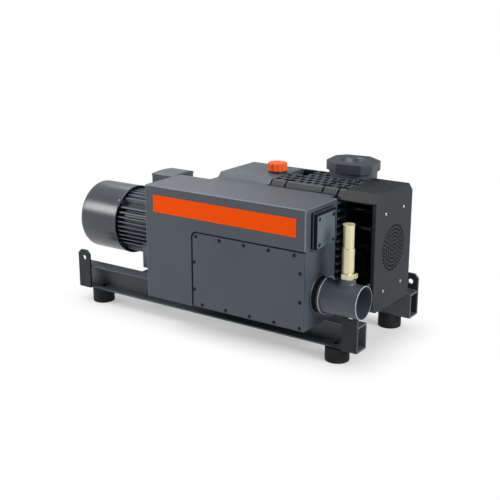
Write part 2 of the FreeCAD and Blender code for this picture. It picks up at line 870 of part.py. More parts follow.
def gear_outline(axis, first_degrees):
    """Involute-like teeth as (y, z) points, the first tooth centred on the given angle."""
    pitch_radius = centre_distance / 2
    tip_radius = pitch_radius + gear_module
    root_radius = pitch_radius - gear_root_depth
    pressure = math.radians(gear_pressure_angle)
    base_radius = pitch_radius * math.cos(pressure)
    half_pitch_angle = math.pi / (2 * gear_teeth) - gear_backlash / (2 * pitch_radius)
    at_pitch = math.tan(pressure) - pressure

    def half_width(radius):
        turn = math.acos(min(1.0, base_radius / radius))
        return half_pitch_angle + at_pitch - (math.tan(turn) - turn)

    start_radius = max(base_radius, root_radius)
    profile = [
        (root_radius, half_width(start_radius)), (start_radius, half_width(start_radius)),
        (pitch_radius, half_width(pitch_radius)), (tip_radius, half_width(tip_radius)),
    ]
    points = []
    for tooth in range(gear_teeth):
        middle = math.radians(first_degrees) + 2 * math.pi * tooth / gear_teeth
        for radius, width in profile:
            points.append((radius, middle - width))
        for radius, width in reversed(profile):
            points.append((radius, middle + width))
    return [(axis[0] + r * math.sin(a), axis[1] + r * math.cos(a)) for r, a in points]


def timing_gear(axis, first_degrees):
    """One timing gear with its bore."""
    wheel = prism_x(gear_outline(axis, first_degrees), gear_left, gear_left + gear_width)
    bore = rod_x(gear_left, gear_left + gear_width, axis, shaft_seat_radius + seat_gap)
    return wheel.cut(bore)


def tip_path(phi):
    """Where the other rotor's claw tip stands in this rotor's frame, in polar form."""
    tip = claw_radius + free_gap
    across = centre_distance - tip * math.cos(phi)
    along = tip * math.sin(phi)
    return math.hypot(across, along), phi - math.atan2(along, across)


def claw_outline(first_degrees):
    """One rotor as (distance, angle) points: claws on the outer radius, roots on the inner one."""
    widest = math.acos(centre_distance / (2 * claw_radius))
    span = math.pi / claw_count
    clearance = math.radians(claw_flank_angle)
    points = []
    for claw in range(claw_count):
        base = math.radians(first_degrees) + 2 * math.pi * claw / claw_count
        start = base + clearance
        end = base + span - clearance
        for i in range(claw_flank_steps + 1):
            radius, turn = tip_path(widest * i / claw_flank_steps)
            points.append((max(radius, claw_root_radius), start - turn))
        for i in range(1, claw_arc_steps):
            points.append((claw_radius, start + (end - start) * i / claw_arc_steps))
        for i in range(claw_flank_steps, -1, -1):
            radius, turn = tip_path(widest * i / claw_flank_steps)
            points.append((max(radius, claw_root_radius), end + turn))
        for i in range(1, claw_arc_steps):
            root_end = base + 2 * span + clearance
            points.append((claw_root_radius, end + (root_end - end) * i / claw_arc_steps))
    return [(min(r, claw_radius), a) for r, a in points]


def claw_rotor(axis, first_degrees):
    """One claw rotor, keyed to its shaft."""
    outline = [(axis[0] + r * math.sin(a), axis[1] + r * math.cos(a)) for r, a in claw_outline(first_degrees)]
    body = prism_x(outline, cylinder_left + free_gap, plate_fan_left - free_gap)
    return body.cut(rod_x(cylinder_left, plate_fan_left, axis, shaft_core_radius + seat_gap))


def rotor_bearings():
    """The four rotor shaft bearings in the side plates."""
    rings = []
    for left, right in ((plate_gear_left, cylinder_left), (plate_fan_left, cover_left)):
        middle = (left + right) / 2
        for axis in (drive_axis, driven_axis):
            rings.append(ring_x(middle - bearing_width / 2, middle + bearing_width / 2, axis,
                                shaft_seat_radius + bearing_thickness - seat_gap, shaft_seat_radius + run_gap))
    return rings


def input_seal():
    """The lip seal round the drive shaft in the gear case's left wall."""
    left = gear_case_left
    return ring_x(left, left + seal_width, drive_axis, shaft_input_radius + seal_thickness - seat_gap,
                  shaft_input_radius + run_gap)


def cooling_fan(axis, left, shaft_radius):
    """A plastic fan wheel: a hub and a back disc with straight blades."""
    hub = rod_x(left, left + cooling_fan_width, axis, cooling_fan_hub_radius)
    back = rod_x(left, left + fan_back_thickness, axis, cooling_fan_radius)
    blades = []
    for i in range(cooling_fan_blades):
        blade = block(left, left + cooling_fan_width, axis[0] - fan_blade_thickness / 2,
                      axis[0] + fan_blade_thickness / 2, axis[1] + cooling_fan_hub_radius / 2,
                      axis[1] + cooling_fan_radius - fan_tip_margin)
        blades.append(turned_x(blade, axis, 360.0 * i / cooling_fan_blades))
    return joined([hub, back] + blades).cut(rod_x(left, left + cooling_fan_width, axis, shaft_radius + seat_gap))


def compressor_stage():
    save("gear_case", gear_case())
    save("oil_filler_neck", oil_filler_neck())
    save("oil_cap", oil_cap())
    save("oil_sight_glass", sight_glass())
    save("oil_drain_plug", drain_plug())
    save("side_plate_gear", side_plate_gear())
    save("cylinder", cylinder())
    save("side_plate_fan", side_plate_fan())
    save("bearing_cover", bearing_cover())
    save("drive_shaft", drive_shaft())
    save("driven_shaft", driven_shaft())
    tooth_angle = 360.0 / gear_teeth
    save("drive_gear", timing_gear(drive_axis, shaft_slant))
    half_turn_tooth = shaft_slant + 180 + tooth_angle / 2
    save("driven_gear", timing_gear(driven_axis, half_turn_tooth))
    claw_turn = 90.0 / claw_count
    save("drive_claw", claw_rotor(drive_axis, shaft_slant + claw_turn))
    save("driven_claw", claw_rotor(driven_axis, shaft_slant + 180 - claw_turn))
    save("shaft_bearings", rotor_bearings() + motor_bearings())
    save("input_seal", input_seal())
    save("drive_fan", cooling_fan(drive_axis, fan_one_left, shaft_fan_radius))
    save("driven_fan", cooling_fan(driven_axis, fan_two_left, shaft_fan_radius))


# Fan hood

def hood_bolt_places():
    """The four fixing points on the hood's end, as (y, z)."""
    places = []
    for y in (casing_middle_y - hood_bolt_half_pitch, casing_middle_y + hood_bolt_half_pitch):
        for z in (casing_bottom + hood_bolt_rise, casing_top - hood_bolt_drop):
            places.append((y, z))
    return places


def vent_holes():
    """Six-sided holes on rings about the hood's middle; each ring holds six more than the one inside it."""
    middle_y = casing_middle_y
    middle_z = (casing_bottom + casing_top) / 2
    holes = [(middle_y, middle_z)]
    for ring in range(1, vent_ring_count + 1):
        count = vent_holes_first_ring * ring
        holes += polygon(middle_y, middle_z, ring * vent_ring_pitch, count, 90.0)
    return [prism_x(hexagon(y, z, vent_hole_radius, 90.0), hood_right - hood_sheet, hood_right) for y, z in holes]


def fan_hood():
    """A bent sheet hood, open towards the block and over most of its front."""
    shell = prism_x(casing_outline(), hood_left, hood_right)
    hollow = prism_x(casing_outline(hood_sheet), hood_left, hood_right - hood_sheet)
    window = block(hood_left, hood_right - hood_sheet, casing_front, casing_front + hood_sheet,
                   casing_bottom + casing_bottom_chamfer, casing_top - casing_top_chamfer)
    holes = [rod_x(hood_right - hood_sheet, hood_right, place, hood_bolt_shank)
             for place in hood_bolt_places()]
    return cut_all(shell.cut(hollow).cut(window), vent_holes() + holes)


def hood_bolts():
    """Round bolt heads on the hood's end, with shanks that reach the spacers."""
    bolts = []
    for place in hood_bolt_places():
        head = rod_x(hood_right, hood_right + hood_bolt_head, place, hood_bolt_radius)
        shank = rod_x(hood_right - hood_sheet, hood_right, place, hood_bolt_shank - seat_gap)
        bolts.append(joined([head, shank]))
    return bolts


def hood_spacers():
    """Four bars that hold the hood's end off the bearing cover."""
    return [rod_x(hood_left, hood_right - hood_sheet, place, spacer_radius) for place in hood_bolt_places()]


def hood():
    save("fan_hood", fan_hood())
    save("hood_bolts", hood_bolts())
    save("hood_spacers", hood_spacers())


# Motor

def motor_fins():
    """Level fins on the sides and upright fins above and below, trimmed to a round outline."""
    y0, z0 = drive_axis
    plates = []
    reach = motor_fin_radius
    half = motor_fin_width / 2
    limit = motor_fin_radius * math.sin(math.radians(45))
    for offset in steps(-limit, limit, motor_fin_pitch):
        across = max(abs(offset), 1.0)
        side = math.sqrt(max(motor_fin_radius ** 2 - across ** 2, 1.0))
        inner = abs(offset) + motor_fin_width
        if side > inner:
            for sign in (-1, 1):
                low = min(sign * inner, sign * side)
                high = max(sign * inner, sign * side)
                plates.append(block(motor_left, motor_right, y0 + low, y0 + high, z0 + offset - half, z0 + offset + half))
                plates.append(block(motor_left, motor_right, y0 + offset - half, y0 + offset + half, z0 + low, z0 + high))
    round_outline = rod_x(motor_left, motor_right, drive_axis, reach)
    return [plate.common(round_outline) for plate in plates]


def motor_housing():
    """The finned stator housing with its two feet and the pad of the terminal box."""
    y0, z0 = drive_axis
    tube = rod_x(motor_left, motor_right, drive_axis, motor_body_radius)
    feet = []
    for sign in (-1, 1):
        inner = y0 + sign * (motor_foot_spread - motor_foot_width)
        outer = y0 + sign * motor_foot_spread
        feet.append(block(motor_foot_x - motor_foot_length / 2, motor_foot_x + motor_foot_length / 2,
                          min(inner, outer), max(inner, outer), beam_top, z0 - motor_body_radius / 2))
    terminal_pad = block(terminal_left + terminal_wall, terminal_left + terminal_length - terminal_wall,
                         y0 - terminal_depth / 4, y0 + terminal_depth / 4, z0, terminal_bottom_z)
    box_room = block(terminal_left - terminal_wall, terminal_left + terminal_length + terminal_wall,
                     y0 - motor_fin_radius, y0 + motor_fin_radius, terminal_bottom_z, z0 + motor_fin_radius)
    body = joined([tube] + motor_fins() + feet + [terminal_pad])
    return cut_all(body, [box_room, rod_x(motor_left, motor_right, drive_axis, motor_bore_radius)])


def motor_shield_drive():
    """The drive end shield with the large mounting flange and its bearing seat."""
    flange = rod_x(bell_left - motor_flange_thickness, bell_left, drive_axis, motor_flange_radius)
    collar = rod_x(motor_right, bell_left, drive_axis, motor_body_radius)
    spigot = rod_x(motor_right - motor_flange_thickness, motor_right, drive_axis, motor_bore_radius - seat_gap)
    boss = rod_x(motor_right - motor_bearing_width - motor_flange_thickness, motor_right, drive_axis,
                 motor_shaft_radius + motor_bearing_thickness + motor_wall)
    shield = joined([flange, collar, spigot, boss])
    seat = rod_x(motor_right - motor_bearing_width - motor_flange_thickness, motor_right - motor_flange_thickness,
                 drive_axis, motor_shaft_radius + motor_bearing_thickness)
    hole = rod_x(motor_right - motor_flange_thickness, bell_left, drive_axis, motor_shaft_radius + pass_gap)
    return cut_all(shield, [seat, hole])


def motor_shield_fan():
    """The fan end shield with four arms that carry the cowl."""
    y0, z0 = drive_axis
    left = motor_left - motor_flange_thickness
    disc = rod_x(left, motor_left, drive_axis, motor_body_radius)
    spigot = rod_x(motor_left, motor_left + motor_flange_thickness, drive_axis, motor_bore_radius - seat_gap)
    boss = rod_x(motor_left, motor_left + motor_flange_thickness + motor_bearing_width, drive_axis,
                 motor_shaft_radius + motor_bearing_thickness + motor_wall)
    arms = []
    arm_reach = cowl_radius - cowl_sheet - seat_gap
    for i in range(cowl_arm_count):
        turn = cowl_arm_turn + 360.0 * i / cowl_arm_count
        arm = block(left, motor_left, y0 - cowl_arm_width / 2, y0 + cowl_arm_width / 2,
                    z0 + motor_body_radius / 2, z0 + motor_fin_radius + cowl_radius)
        arms.append(turned_x(arm, drive_axis, turn).common(rod_x(left, motor_left, drive_axis, arm_reach)))
    shield = joined([disc, spigot, boss] + arms)
    seat = rod_x(motor_left + motor_flange_thickness, motor_left + motor_flange_thickness + motor_bearing_width,
                 drive_axis, motor_shaft_radius + motor_bearing_thickness)
    hole = rod_x(left, motor_left + motor_flange_thickness, drive_axis, motor_shaft_radius + pass_gap)
    return cut_all(shield, [seat, hole])


def motor_bearings():
    """The two motor bearings in the end shields."""
    outer = motor_shaft_radius + motor_bearing_thickness - seat_gap
    inner = motor_shaft_radius + run_gap
    right = motor_right - motor_flange_thickness
    left = motor_left + motor_flange_thickness
    return [
        ring_x(right - motor_bearing_width, right, drive_axis, outer, inner),
        ring_x(left, left + motor_bearing_width, drive_axis, outer, inner),
    ]


stator_middle = (motor_left + motor_right) / 2
motor_fan_right = motor_left - motor_flange_thickness - rib_width
motor_fan_left = motor_fan_right - motor_fan_width


def stator():
    """The laminated stator ring pressed into the housing."""
    inner = motor_core_radius + motor_air_gap
    return ring_x(stator_middle - stator_length / 2, stator_middle + stator_length / 2, drive_axis,
                  motor_bore_radius - seat_gap, inner)


def motor_rotor():
    """The motor shaft with its laminated core."""
    core = rod_x(stator_middle - stator_length / 2, stator_middle + stator_length / 2, drive_axis, motor_core_radius)
    shaft = rod_x(motor_fan_left, coupling_middle - coupling_jaw_length - rib_width, drive_axis, motor_shaft_radius)
    return joined([core, shaft])


def motor_fan():
    """The external fan of the motor."""
    hub = rod_x(motor_fan_left, motor_fan_right, drive_axis, motor_shaft_radius * 2)
    back = rod_x(motor_fan_right - fan_back_thickness, motor_fan_right, drive_axis, motor_fan_radius)
    y0, z0 = drive_axis
    blades = []
    for i in range(motor_fan_blades):
        blade = block(motor_fan_left, motor_fan_right, y0 - fan_blade_thickness / 2, y0 + fan_blade_thickness / 2,
                      z0 + motor_shaft_radius * 1.5, z0 + motor_fan_radius - fan_tip_margin)
        blades.append(turned_x(blade, drive_axis, 360.0 * i / motor_fan_blades))
    bore = rod_x(motor_fan_left, motor_fan_right, drive_axis, motor_shaft_radius + seat_gap)
    return joined([hub, back] + blades).cut(bore)


def fan_cowl():
    """The motor's round sheet cowl with a grille of rings at its end."""
    outer = rod_x(cowl_left, motor_left, drive_axis, cowl_radius)
    rim = [e for e in outer.Edges if e.BoundBox.XMax < cowl_left + 0.01]
    outer = outer.makeFillet(cowl_edge, rim)
    inner = rod_x(cowl_left + cowl_sheet, motor_left, drive_axis, cowl_radius - cowl_sheet)
    rim = [e for e in inner.Edges if e.BoundBox.XMax < cowl_left + cowl_sheet + 0.01]
    inner = inner.makeFillet(cowl_edge - cowl_sheet, rim)
    ring_pitch = (cowl_radius - cowl_edge * 2) / (cowl_ring_count + 1)
    slots = []
    for i in range(1, cowl_ring_count + 1):
        radius = ring_pitch * (i + 0.5)
        slots.append(ring_x(cowl_left, cowl_left + cowl_sheet, drive_axis, radius + ring_pitch / 4,
                            radius - ring_pitch / 4))
    y0, z0 = drive_axis
    bars = []
    for turn in (0.0, 90.0):
        bar = block(cowl_left, cowl_left + cowl_sheet, y0 - rib_width / 2, y0 + rib_width / 2,
                    z0 - cowl_radius, z0 + cowl_radius)
        bars.append(turned_x(bar, drive_axis, turn))
    return outer.cut(inner).cut(Part.makeCompound(slots).cut(Part.makeCompound(bars)))


def terminal_box():
    """The open box on the motor's top."""
    y0 = drive_axis_y - terminal_depth / 2
    y1 = drive_axis_y + terminal_depth / 2
    x0 = terminal_left
    x1 = terminal_left + terminal_length
    wall = terminal_wall
    body = block(x0, x1, y0, y1, terminal_bottom_z, terminal_rim_z)
    hollow = block(x0 + wall, x1 - wall, y0 + wall, y1 - wall, terminal_bottom_z + wall, terminal_rim_z)
    return body.cut(hollow)


def terminal_lid():
    """The arched lid, which overhangs the box all round."""
    y0 = drive_axis_y - terminal_depth / 2 - terminal_overhang
    y1 = drive_axis_y + terminal_depth / 2 + terminal_overhang
    x0 = terminal_left - terminal_overhang
    x1 = terminal_left + terminal_length + terminal_overhang
    side_z = terminal_rim_z + terminal_lid_edge
    crown_z = terminal_rim_z + terminal_lid_crown
    arch = Part.Arc(V(x0, y0, side_z), V(x0, drive_axis_y, crown_z), V(x0, y1, side_z)).toShape()
    sides = Part.makePolygon([V(x0, y1, side_z), V(x0, y1, terminal_rim_z), V(x0, y0, terminal_rim_z),
                              V(x0, y0, side_z)])
    wire = Part.Wire(Part.__sortEdges__([arch] + sides.Edges))
    return Part.Face(wire).extrude(V(x1 - x0, 0, 0))


def cable_glands():
    """Two empty cable glands in the box's right wall."""
    x0 = terminal_left + terminal_length
    z = (terminal_bottom_z + terminal_rim_z) / 2
    glands = []
    for y in (drive_axis_y - gland_spacing / 2, drive_axis_y + gland_spacing / 2):
        nut = prism_x(hexagon(y, z, gland_nut_radius, 0), x0, x0 + gland_nut_length)
        body = rod_x(x0, x0 + gland_length, (y, z), gland_body_radius)
        bore = rod_x(x0 + gland_nut_length, x0 + gland_length, (y, z), gland_bore_radius)
        glands.append(joined([nut, body]).cut(bore))
    return glands


# Coupling and bell housing

def sector_x(x0, x1, axis, radius, inner, middle, width):
    """A ring sector about X, with its middle and width in degrees."""
    full = Part.makeCylinder(radius, x1 - x0, V(x0, axis[0], axis[1]), V(1, 0, 0), width)
    hole = Part.makeCylinder(inner, x1 - x0, V(x0, axis[0], axis[1]), V(1, 0, 0))
    return turned_x(full.cut(hole), axis, middle - width / 2)


jaw_turn = 360.0 / (2 * coupling_jaw_count)
jaw_width = jaw_turn * coupling_jaw_share


def coupling_hub(left, right, jaw_left, jaw_right, shaft_radius, first):
    """A coupling hub with jaws on its face."""
    body = rod_x(left, right, drive_axis, coupling_radius)
    jaws = []
    for i in range(coupling_jaw_count):
        jaws.append(sector_x(jaw_left, jaw_right, drive_axis, coupling_radius, coupling_radius / 2,
                             first + i * 360.0 / coupling_jaw_count, jaw_width))
    bore = rod_x(min(left, jaw_left), max(right, jaw_right), drive_axis, shaft_radius + seat_gap)
    return joined([body] + jaws).cut(bore)


def coupling_motor_hub():
    right = coupling_middle - coupling_jaw_length / 2
    return coupling_hub(right - coupling_hub_length, right, right, right + coupling_jaw_length,
                        motor_shaft_radius, 0.0)


def coupling_drive_hub():
    left = coupling_middle + coupling_jaw_length / 2
    return coupling_hub(left, left + coupling_hub_length, left - coupling_jaw_length, left,
                        shaft_input_radius, jaw_turn)


def coupling_spider():
    """The elastic star between the two hubs' jaws."""
    x0 = coupling_middle - coupling_jaw_length / 2
    x1 = coupling_middle + coupling_jaw_length / 2
    ring = ring_x(x0, x1, drive_axis, coupling_radius / 2 - seat_gap, motor_shaft_radius + pass_gap)
    legs = []
    for i in range(2 * coupling_jaw_count):
        middle = (i + 0.5) * jaw_turn
        legs.append(sector_x(x0, x1, drive_axis, coupling_radius - pass_gap, motor_shaft_radius + pass_gap,
                             middle, jaw_turn - jaw_width - coupling_jaw_gap))
    return joined([ring] + legs)


def bell_housing():
    """The tube with two flanges that joins motor and gear case, with side windows at the coupling."""
    y0, z0 = drive_axis
    tube = ring_x(bell_left, bell_right, drive_axis, bell_radius, bell_radius - bell_wall)
    motor_flange = ring_x(bell_left, bell_left + motor_flange_thickness, drive_axis, motor_flange_radius,
                          bell_radius - bell_wall)
    case_flange = ring_x(bell_right - motor_flange_thickness, bell_right, drive_axis,
                         bell_radius + motor_flange_thickness, bell_radius - bell_wall)
    case_limit = block(bell_left, bell_right, casing_front, casing_rear, casing_bottom, casing_top)
    case_flange = case_flange.common(case_limit)
    window = block(coupling_middle - bell_window_length / 2, coupling_middle + bell_window_length / 2,
                   y0 - bell_radius, y0 + bell_radius, z0 - bell_window_height / 2, z0 + bell_window_height / 2)
    return joined([tube, motor_flange, case_flange]).cut(window)


def motor_unit():
    save("motor_housing", motor_housing())
    save("motor_shield_drive", motor_shield_drive())
    save("motor_shield_fan", motor_shield_fan())
    save("stator", stator())
    save("motor_rotor", motor_rotor())
    save("motor_fan", motor_fan())
    save("fan_cowl", fan_cowl())
    save("terminal_box", terminal_box())
    save("terminal_lid", terminal_lid())
    save("cable_glands", cable_glands())
    save("coupling_motor_hub", coupling_motor_hub())
    save("coupling_drive_hub", coupling_drive_hub())
    save("coupling_spider", coupling_spider())
    save("bell_housing", bell_housing())


# Silencer

def silencer_outline(inset):
    """Front view of the silencer's outer or inner box."""
    return block(silencer_left + inset, silencer_right - inset, silencer_front + inset, silencer_back - inset,
                 silencer_bottom + inset, silencer_top - inset)


def neck_outline(inset, back):
    """The transfer neck's section as (y, z) points, up to the casing and its chamfer."""
    slope_z = casing_top - casing_top_chamfer
    top = silencer_top - inset
    lip_y = casing_front + max(top - slope_z, 0.0)
    return [
        (silencer_back - silencer_wall, neck_bottom + inset), (back, neck_bottom + inset), (back, slope_z),
        (lip_y, top), (silencer_back - silencer_wall, top),
    ]


def silencer_housing():
    """The silencer's shell: a proud upper band, a recess for the access plate and a neck to the casing."""
    box = silencer_outline(0)
    edges = [e for e in box.Edges
             if e.BoundBox.ZMin > silencer_top - 0.1 or
             (e.BoundBox.YMax < silencer_front + 0.1 and e.BoundBox.ZLength > silencer_height / 2)]
    box = box.makeFillet(silencer_edge, edges)
    neck = prism_x(neck_outline(0, casing_front), neck_left, neck_right)
    frame = end_block(silencer_right, end_frame_face, end_frame_margin, end_opening_inset)
    body = joined([box, neck, frame])
    seam = prism_x([
        (casing_front - neck_seam, casing_top - casing_top_chamfer - neck_seam),
        (casing_front, casing_top - casing_top_chamfer - neck_seam),
        (casing_front + casing_top_chamfer, casing_top),
        (casing_front + casing_top_chamfer - 2 * neck_seam, casing_top),
        (casing_front - neck_seam, casing_top - casing_top_chamfer),
    ], plate_gear_left, neck_right)
    front_step = block(recess_left, silencer_right, silencer_front, recess_floor, silencer_bottom, recess_top)
    end_step = block(lower_right, silencer_right, silencer_front, silencer_back, silencer_bottom, recess_top)
    wall = silencer_wall
    y1 = silencer_back - wall
    z0 = silencer_bottom + wall
    z1 = silencer_top - wall
    hollow = joined([
        block(silencer_left + wall, lower_right - wall, recess_floor + wall, y1, z0, z1),
        block(silencer_left + wall, recess_left - wall, silencer_front + wall, y1, z0, z1),
        block(silencer_left + wall, silencer_right - wall, silencer_front + wall, y1, recess_top + wall, z1),
    ])
    neck_hollow = block(outlet_left + outlet_margin, outlet_right - outlet_margin, silencer_back - silencer_wall,
                        casing_front, neck_bottom + outlet_margin, outlet_top - outlet_margin)
    margin = access_opening_margin
    access_hole = block(access_left + margin, access_right - margin, recess_floor, recess_floor + silencer_wall,
                        access_bottom + margin, access_top - margin)
    pipe_hole = rod_x(lower_right - silencer_wall, lower_right, (pipe_y, pipe_z), pipe_radius - pipe_wall + pass_gap)
    inset = end_opening_inset
    end_hole = block(silencer_right - silencer_wall, silencer_right, end_cover_front + inset, end_cover_back - inset,
                     end_cover_bottom + inset, end_cover_top - inset)
    return cut_all(body, [seam, front_step, end_step, hollow, neck_hollow, access_hole, pipe_hole, end_hole])


def access_shape(y0, y1, hole_margin=None):
    """The access plate's outline with one round corner, as a plate between two depths."""
    x0, x1, z0, z1 = access_left, access_right, access_bottom, access_top
    plate = block(x0, x1, y0, y1, z0, z1)
    corner = [e for e in plate.Edges if e.BoundBox.XMax < x0 + 0.01 and e.BoundBox.ZMin > z1 - 0.01]
    plate = plate.makeFillet(access_corner, corner)
    if hole_margin is not None:
        plate = plate.cut(block(x0 + hole_margin, x1 - hole_margin, y0, y1, z0 + hole_margin, z1 - hole_margin))
    return plate


def spread(first, last, count):
    """Evenly spaced places from the first to the last."""
    return [first + (last - first) * i / (count - 1) for i in range(count)]


def access_bolt_places():
    """Bolt places round the access plate, as (x, z): a row above and below and a column on each side."""
    top = access_top - access_bolt_margin
    bottom = access_bottom + access_bolt_near_margin
    left = access_left + access_bolt_near_margin
    right = access_right - access_bolt_margin
    top_row = spread(access_left + access_top_row_first, access_right - access_top_row_last, access_bolts_per_row)
    bottom_row = spread(access_left + access_bottom_row_first, access_right - access_bottom_row_last,
                        access_bolts_per_row)
    left_column = spread(access_bottom + access_left_column_low, access_top - access_left_column_high,
                         access_bolts_per_side)
    right_column = spread(access_bottom + access_right_column_low, access_top - access_right_column_high,
                          access_bolts_per_side)
    places = [(x, top) for x in top_row]
    places += [(x, bottom) for x in bottom_row]
    places += [(left, z) for z in left_column]
    places += [(right, z) for z in right_column]
    return places


def access_bolts():
    """Hexagon bolt heads on the access plate."""
    return [prism_y(hexagon(x, z, access_bolt_radius, 0), access_front - access_bolt_head, access_front)
            for x, z in access_bolt_places()]


def stripe_panel():
    """A thin plain strip along the silencer's upper band."""
    return block(silencer_left + stripe_margin_left, silencer_right - stripe_margin_right,
                 silencer_front - stripe_thickness, silencer_front, stripe_top - stripe_height, stripe_top)


def end_block(x0, x1, margin, hole_inset=None):
    """One plate of the end cover's stack."""
    y0 = end_cover_front - margin
    y1 = end_cover_back + margin
    z0 = end_cover_bottom - min(margin, 0)
    z1 = end_cover_top + margin
    plate = block(x0, x1, y0, y1, z0, z1)
    if hole_inset is not None:
        plate = plate.cut(block(x0, x1, end_cover_front + hole_inset, end_cover_back - hole_inset,
                                end_cover_bottom + hole_inset, end_cover_top - hole_inset))
    return plate


def end_cover_bolts():
    """Four bolt heads on the end cover."""
    bolts = []
    for y in (end_cover_front + end_bolt_inset, end_cover_back - end_bolt_inset):
        for z in (end_cover_bottom + end_bolt_inset, end_cover_top - end_bolt_inset):
            bolts.append(prism_x(hexagon(y, z, end_bolt_radius, 0), end_cover_face, end_cover_face + end_bolt_head))
    return bolts


def silencer_baffle():
    """A perforated wall inside the silencer."""
    x = (silencer_left + recess_left) / 2 + silencer_wall
    wall = block(x, x + silencer_wall, recess_floor + silencer_wall, silencer_back - silencer_wall,
                 silencer_bottom + silencer_wall, silencer_top - silencer_wall)
    holes = []
    margin = 2 * baffle_hole_radius
    for y in steps(silencer_front + margin, silencer_back - margin, baffle_pitch_y):
        for z in steps(silencer_bottom + margin, silencer_top - margin, baffle_pitch_z):
            holes.append(rod_x(x, x + silencer_wall, (y, z), baffle_hole_radius))
    return cut_all(wall, holes)


def discharge_flange():
    """The round root flange on the silencer's end with its collar."""
    axis = (pipe_y, pipe_z)
    flange = rod_x(lower_right, lower_right + pipe_flange_thickness, axis, pipe_flange_radius)
    collar = rod_x(lower_right, collar_end, axis, pipe_collar_radius)
    bore = rod_x(lower_right, collar_end, axis, pipe_radius + seat_gap)
    return joined([flange, collar]).cut(bore)


def discharge_pipe():
    """The open discharge pipe with the boss of the relief valve welded on top."""
    axis = (pipe_y, pipe_z)
    outer = rod_x(lower_right, pipe_end, axis, pipe_radius)
    inner = rod_x(lower_right, pipe_end, axis, pipe_radius - pipe_wall)
    boss = rod_z(pipe_z, boss_top, boss_x, pipe_y, boss_radius)
    bore = rod_z(pipe_z, boss_top, boss_x, pipe_y, boss_bore)
    return joined([outer, boss]).cut(inner).cut(bore)


def silencer_unit():
    save("silencer_housing", silencer_housing())
    save("access_plate", access_shape(access_front, access_back))
    save("stripe_panel", stripe_panel())
    access_gasket = access_shape(access_back, recess_floor, access_opening_margin)
    end_gasket = end_block(end_frame_face, end_gasket_face, -end_gasket_inset, end_opening_inset)
    save("silencer_gaskets", [access_gasket, end_gasket])
    save("end_cover_plate", end_block(end_gasket_face, end_cover_face, 0))
    save("silencer_bolts", access_bolts() + end_cover_bolts())
    save("silencer_baffle", silencer_baffle())
    save("discharge_flange", discharge_flange())
    save("discharge_pipe", discharge_pipe())


# Relief valve

def coil_spring(x, y, z0, z1, radius, turns, wire):
    """A coil spring of square wire between two heights."""
    height = z1 - z0 - wire
    helix = Part.makeHelix(height / turns, height, radius)
    helix.translate(V(x, y, z0 + wire / 2))
    half = wire / 2
    start = V(x + radius, y, z0 + wire / 2)
    corners = [V(start.x - half, start.y, start.z - half), V(start.x + half, start.y, start.z - half),
               V(start.x + half, start.y, start.z + half), V(start.x - half, start.y, start.z + half)]
    section = Part.makePolygon(corners + [corners[0]])
    return Part.Wire(helix.Edges).makePipeShell([section], True, True)


def relief_valve_body():
    """The valve's brass body: hexagon, seat and the lower chamber."""
    hex_radius = valve_hex_across / math.sqrt(3)
    nut = prism_z(hexagon(boss_x, pipe_y, hex_radius, 0), boss_top, valve_hex_top)
    groove_top = valve_hex_top + valve_groove_height
    groove = rod_z(valve_hex_top, groove_top, boss_x, pipe_y, valve_lower_radius - valve_groove_depth)
    tube = rod_z(groove_top, valve_step, boss_x, pipe_y, valve_lower_radius)
    lug = block(boss_x, boss_x + valve_lug_reach, pipe_y, pipe_y + valve_lug_width,
                boss_top + valve_groove_height, valve_hex_top)
    bore = rod_z(boss_top, poppet_seat, boss_x, pipe_y, boss_bore)
    chamber = rod_z(poppet_seat, valve_step, boss_x, pipe_y, valve_chamber_radius)
    return cut_all(joined([nut, groove, tube, lug]), [bore, chamber])


def relief_valve_bonnet():
    """The slimmer upper sleeve with its closed, rimmed top."""
    sleeve = rod_z(valve_step, valve_top, boss_x, pipe_y, valve_upper_radius)
    rim = Part.makeCone(valve_upper_radius, valve_upper_radius + valve_rim_reach, valve_rim_height,
                        V(boss_x, pipe_y, valve_top - valve_rim_height))
    hollow = rod_z(valve_step, valve_top - valve_top_wall, boss_x, pipe_y, valve_chamber_radius)
    return joined([sleeve, rim]).cut(hollow)


def relief_poppet():
    """The valve disc with its guide stem."""
    z0 = poppet_seat + free_gap / 2
    disc = rod_z(z0, z0 + poppet_thickness, boss_x, pipe_y, valve_chamber_radius - free_gap)
    stem = rod_z(z0, z0 + poppet_thickness + poppet_stem_length, boss_x, pipe_y, poppet_stem_radius)
    return joined([disc, stem])


poppet_top = poppet_seat + free_gap / 2 + poppet_thickness


def relief_valve():
    save("relief_valve_body", relief_valve_body())
    save("relief_valve_bonnet", relief_valve_bonnet())
    save("relief_poppet", relief_poppet())
    save("relief_spring", coil_spring(boss_x, pipe_y, poppet_top, valve_top - valve_top_wall, valve_spring_radius,
                                      valve_spring_turns, spring_wire))


# Inlet

duct_rear = inlet_y + inlet_neck_radius
duct_left = cylinder_left + segment_gap / 2
duct_right = inlet_x + inlet_duct_reach


def inlet_manifold():
    """The inlet casting: a round neck on the block's rear edge and a duct down to the cylinder's port."""
    neck = rod_z(inlet_neck_bottom, inlet_flange_bottom, inlet_x, inlet_y, inlet_neck_radius)
    duct = block(duct_left, duct_right, casing_rear, duct_rear, inlet_duct_bottom, chamber_floor)
    body = joined([neck, duct])
    chamber = rod_z(chamber_floor, inlet_flange_bottom, inlet_x, inlet_y, inlet_chamber_radius)
    wall = inlet_duct_wall
    passage = block(duct_left + wall, duct_right - wall, casing_rear + wall, duct_rear - wall,
                    inlet_duct_bottom + wall, chamber_floor)
    middle = (cylinder_left + plate_fan_left) / 2
    half = inlet_port_width / 2
    port = block(middle - half, middle + half, casing_rear, casing_rear + wall, inlet_duct_bottom + wall,
                 inlet_duct_bottom + wall + inlet_port_height)
    return cut_all(body, [chamber, passage, port])


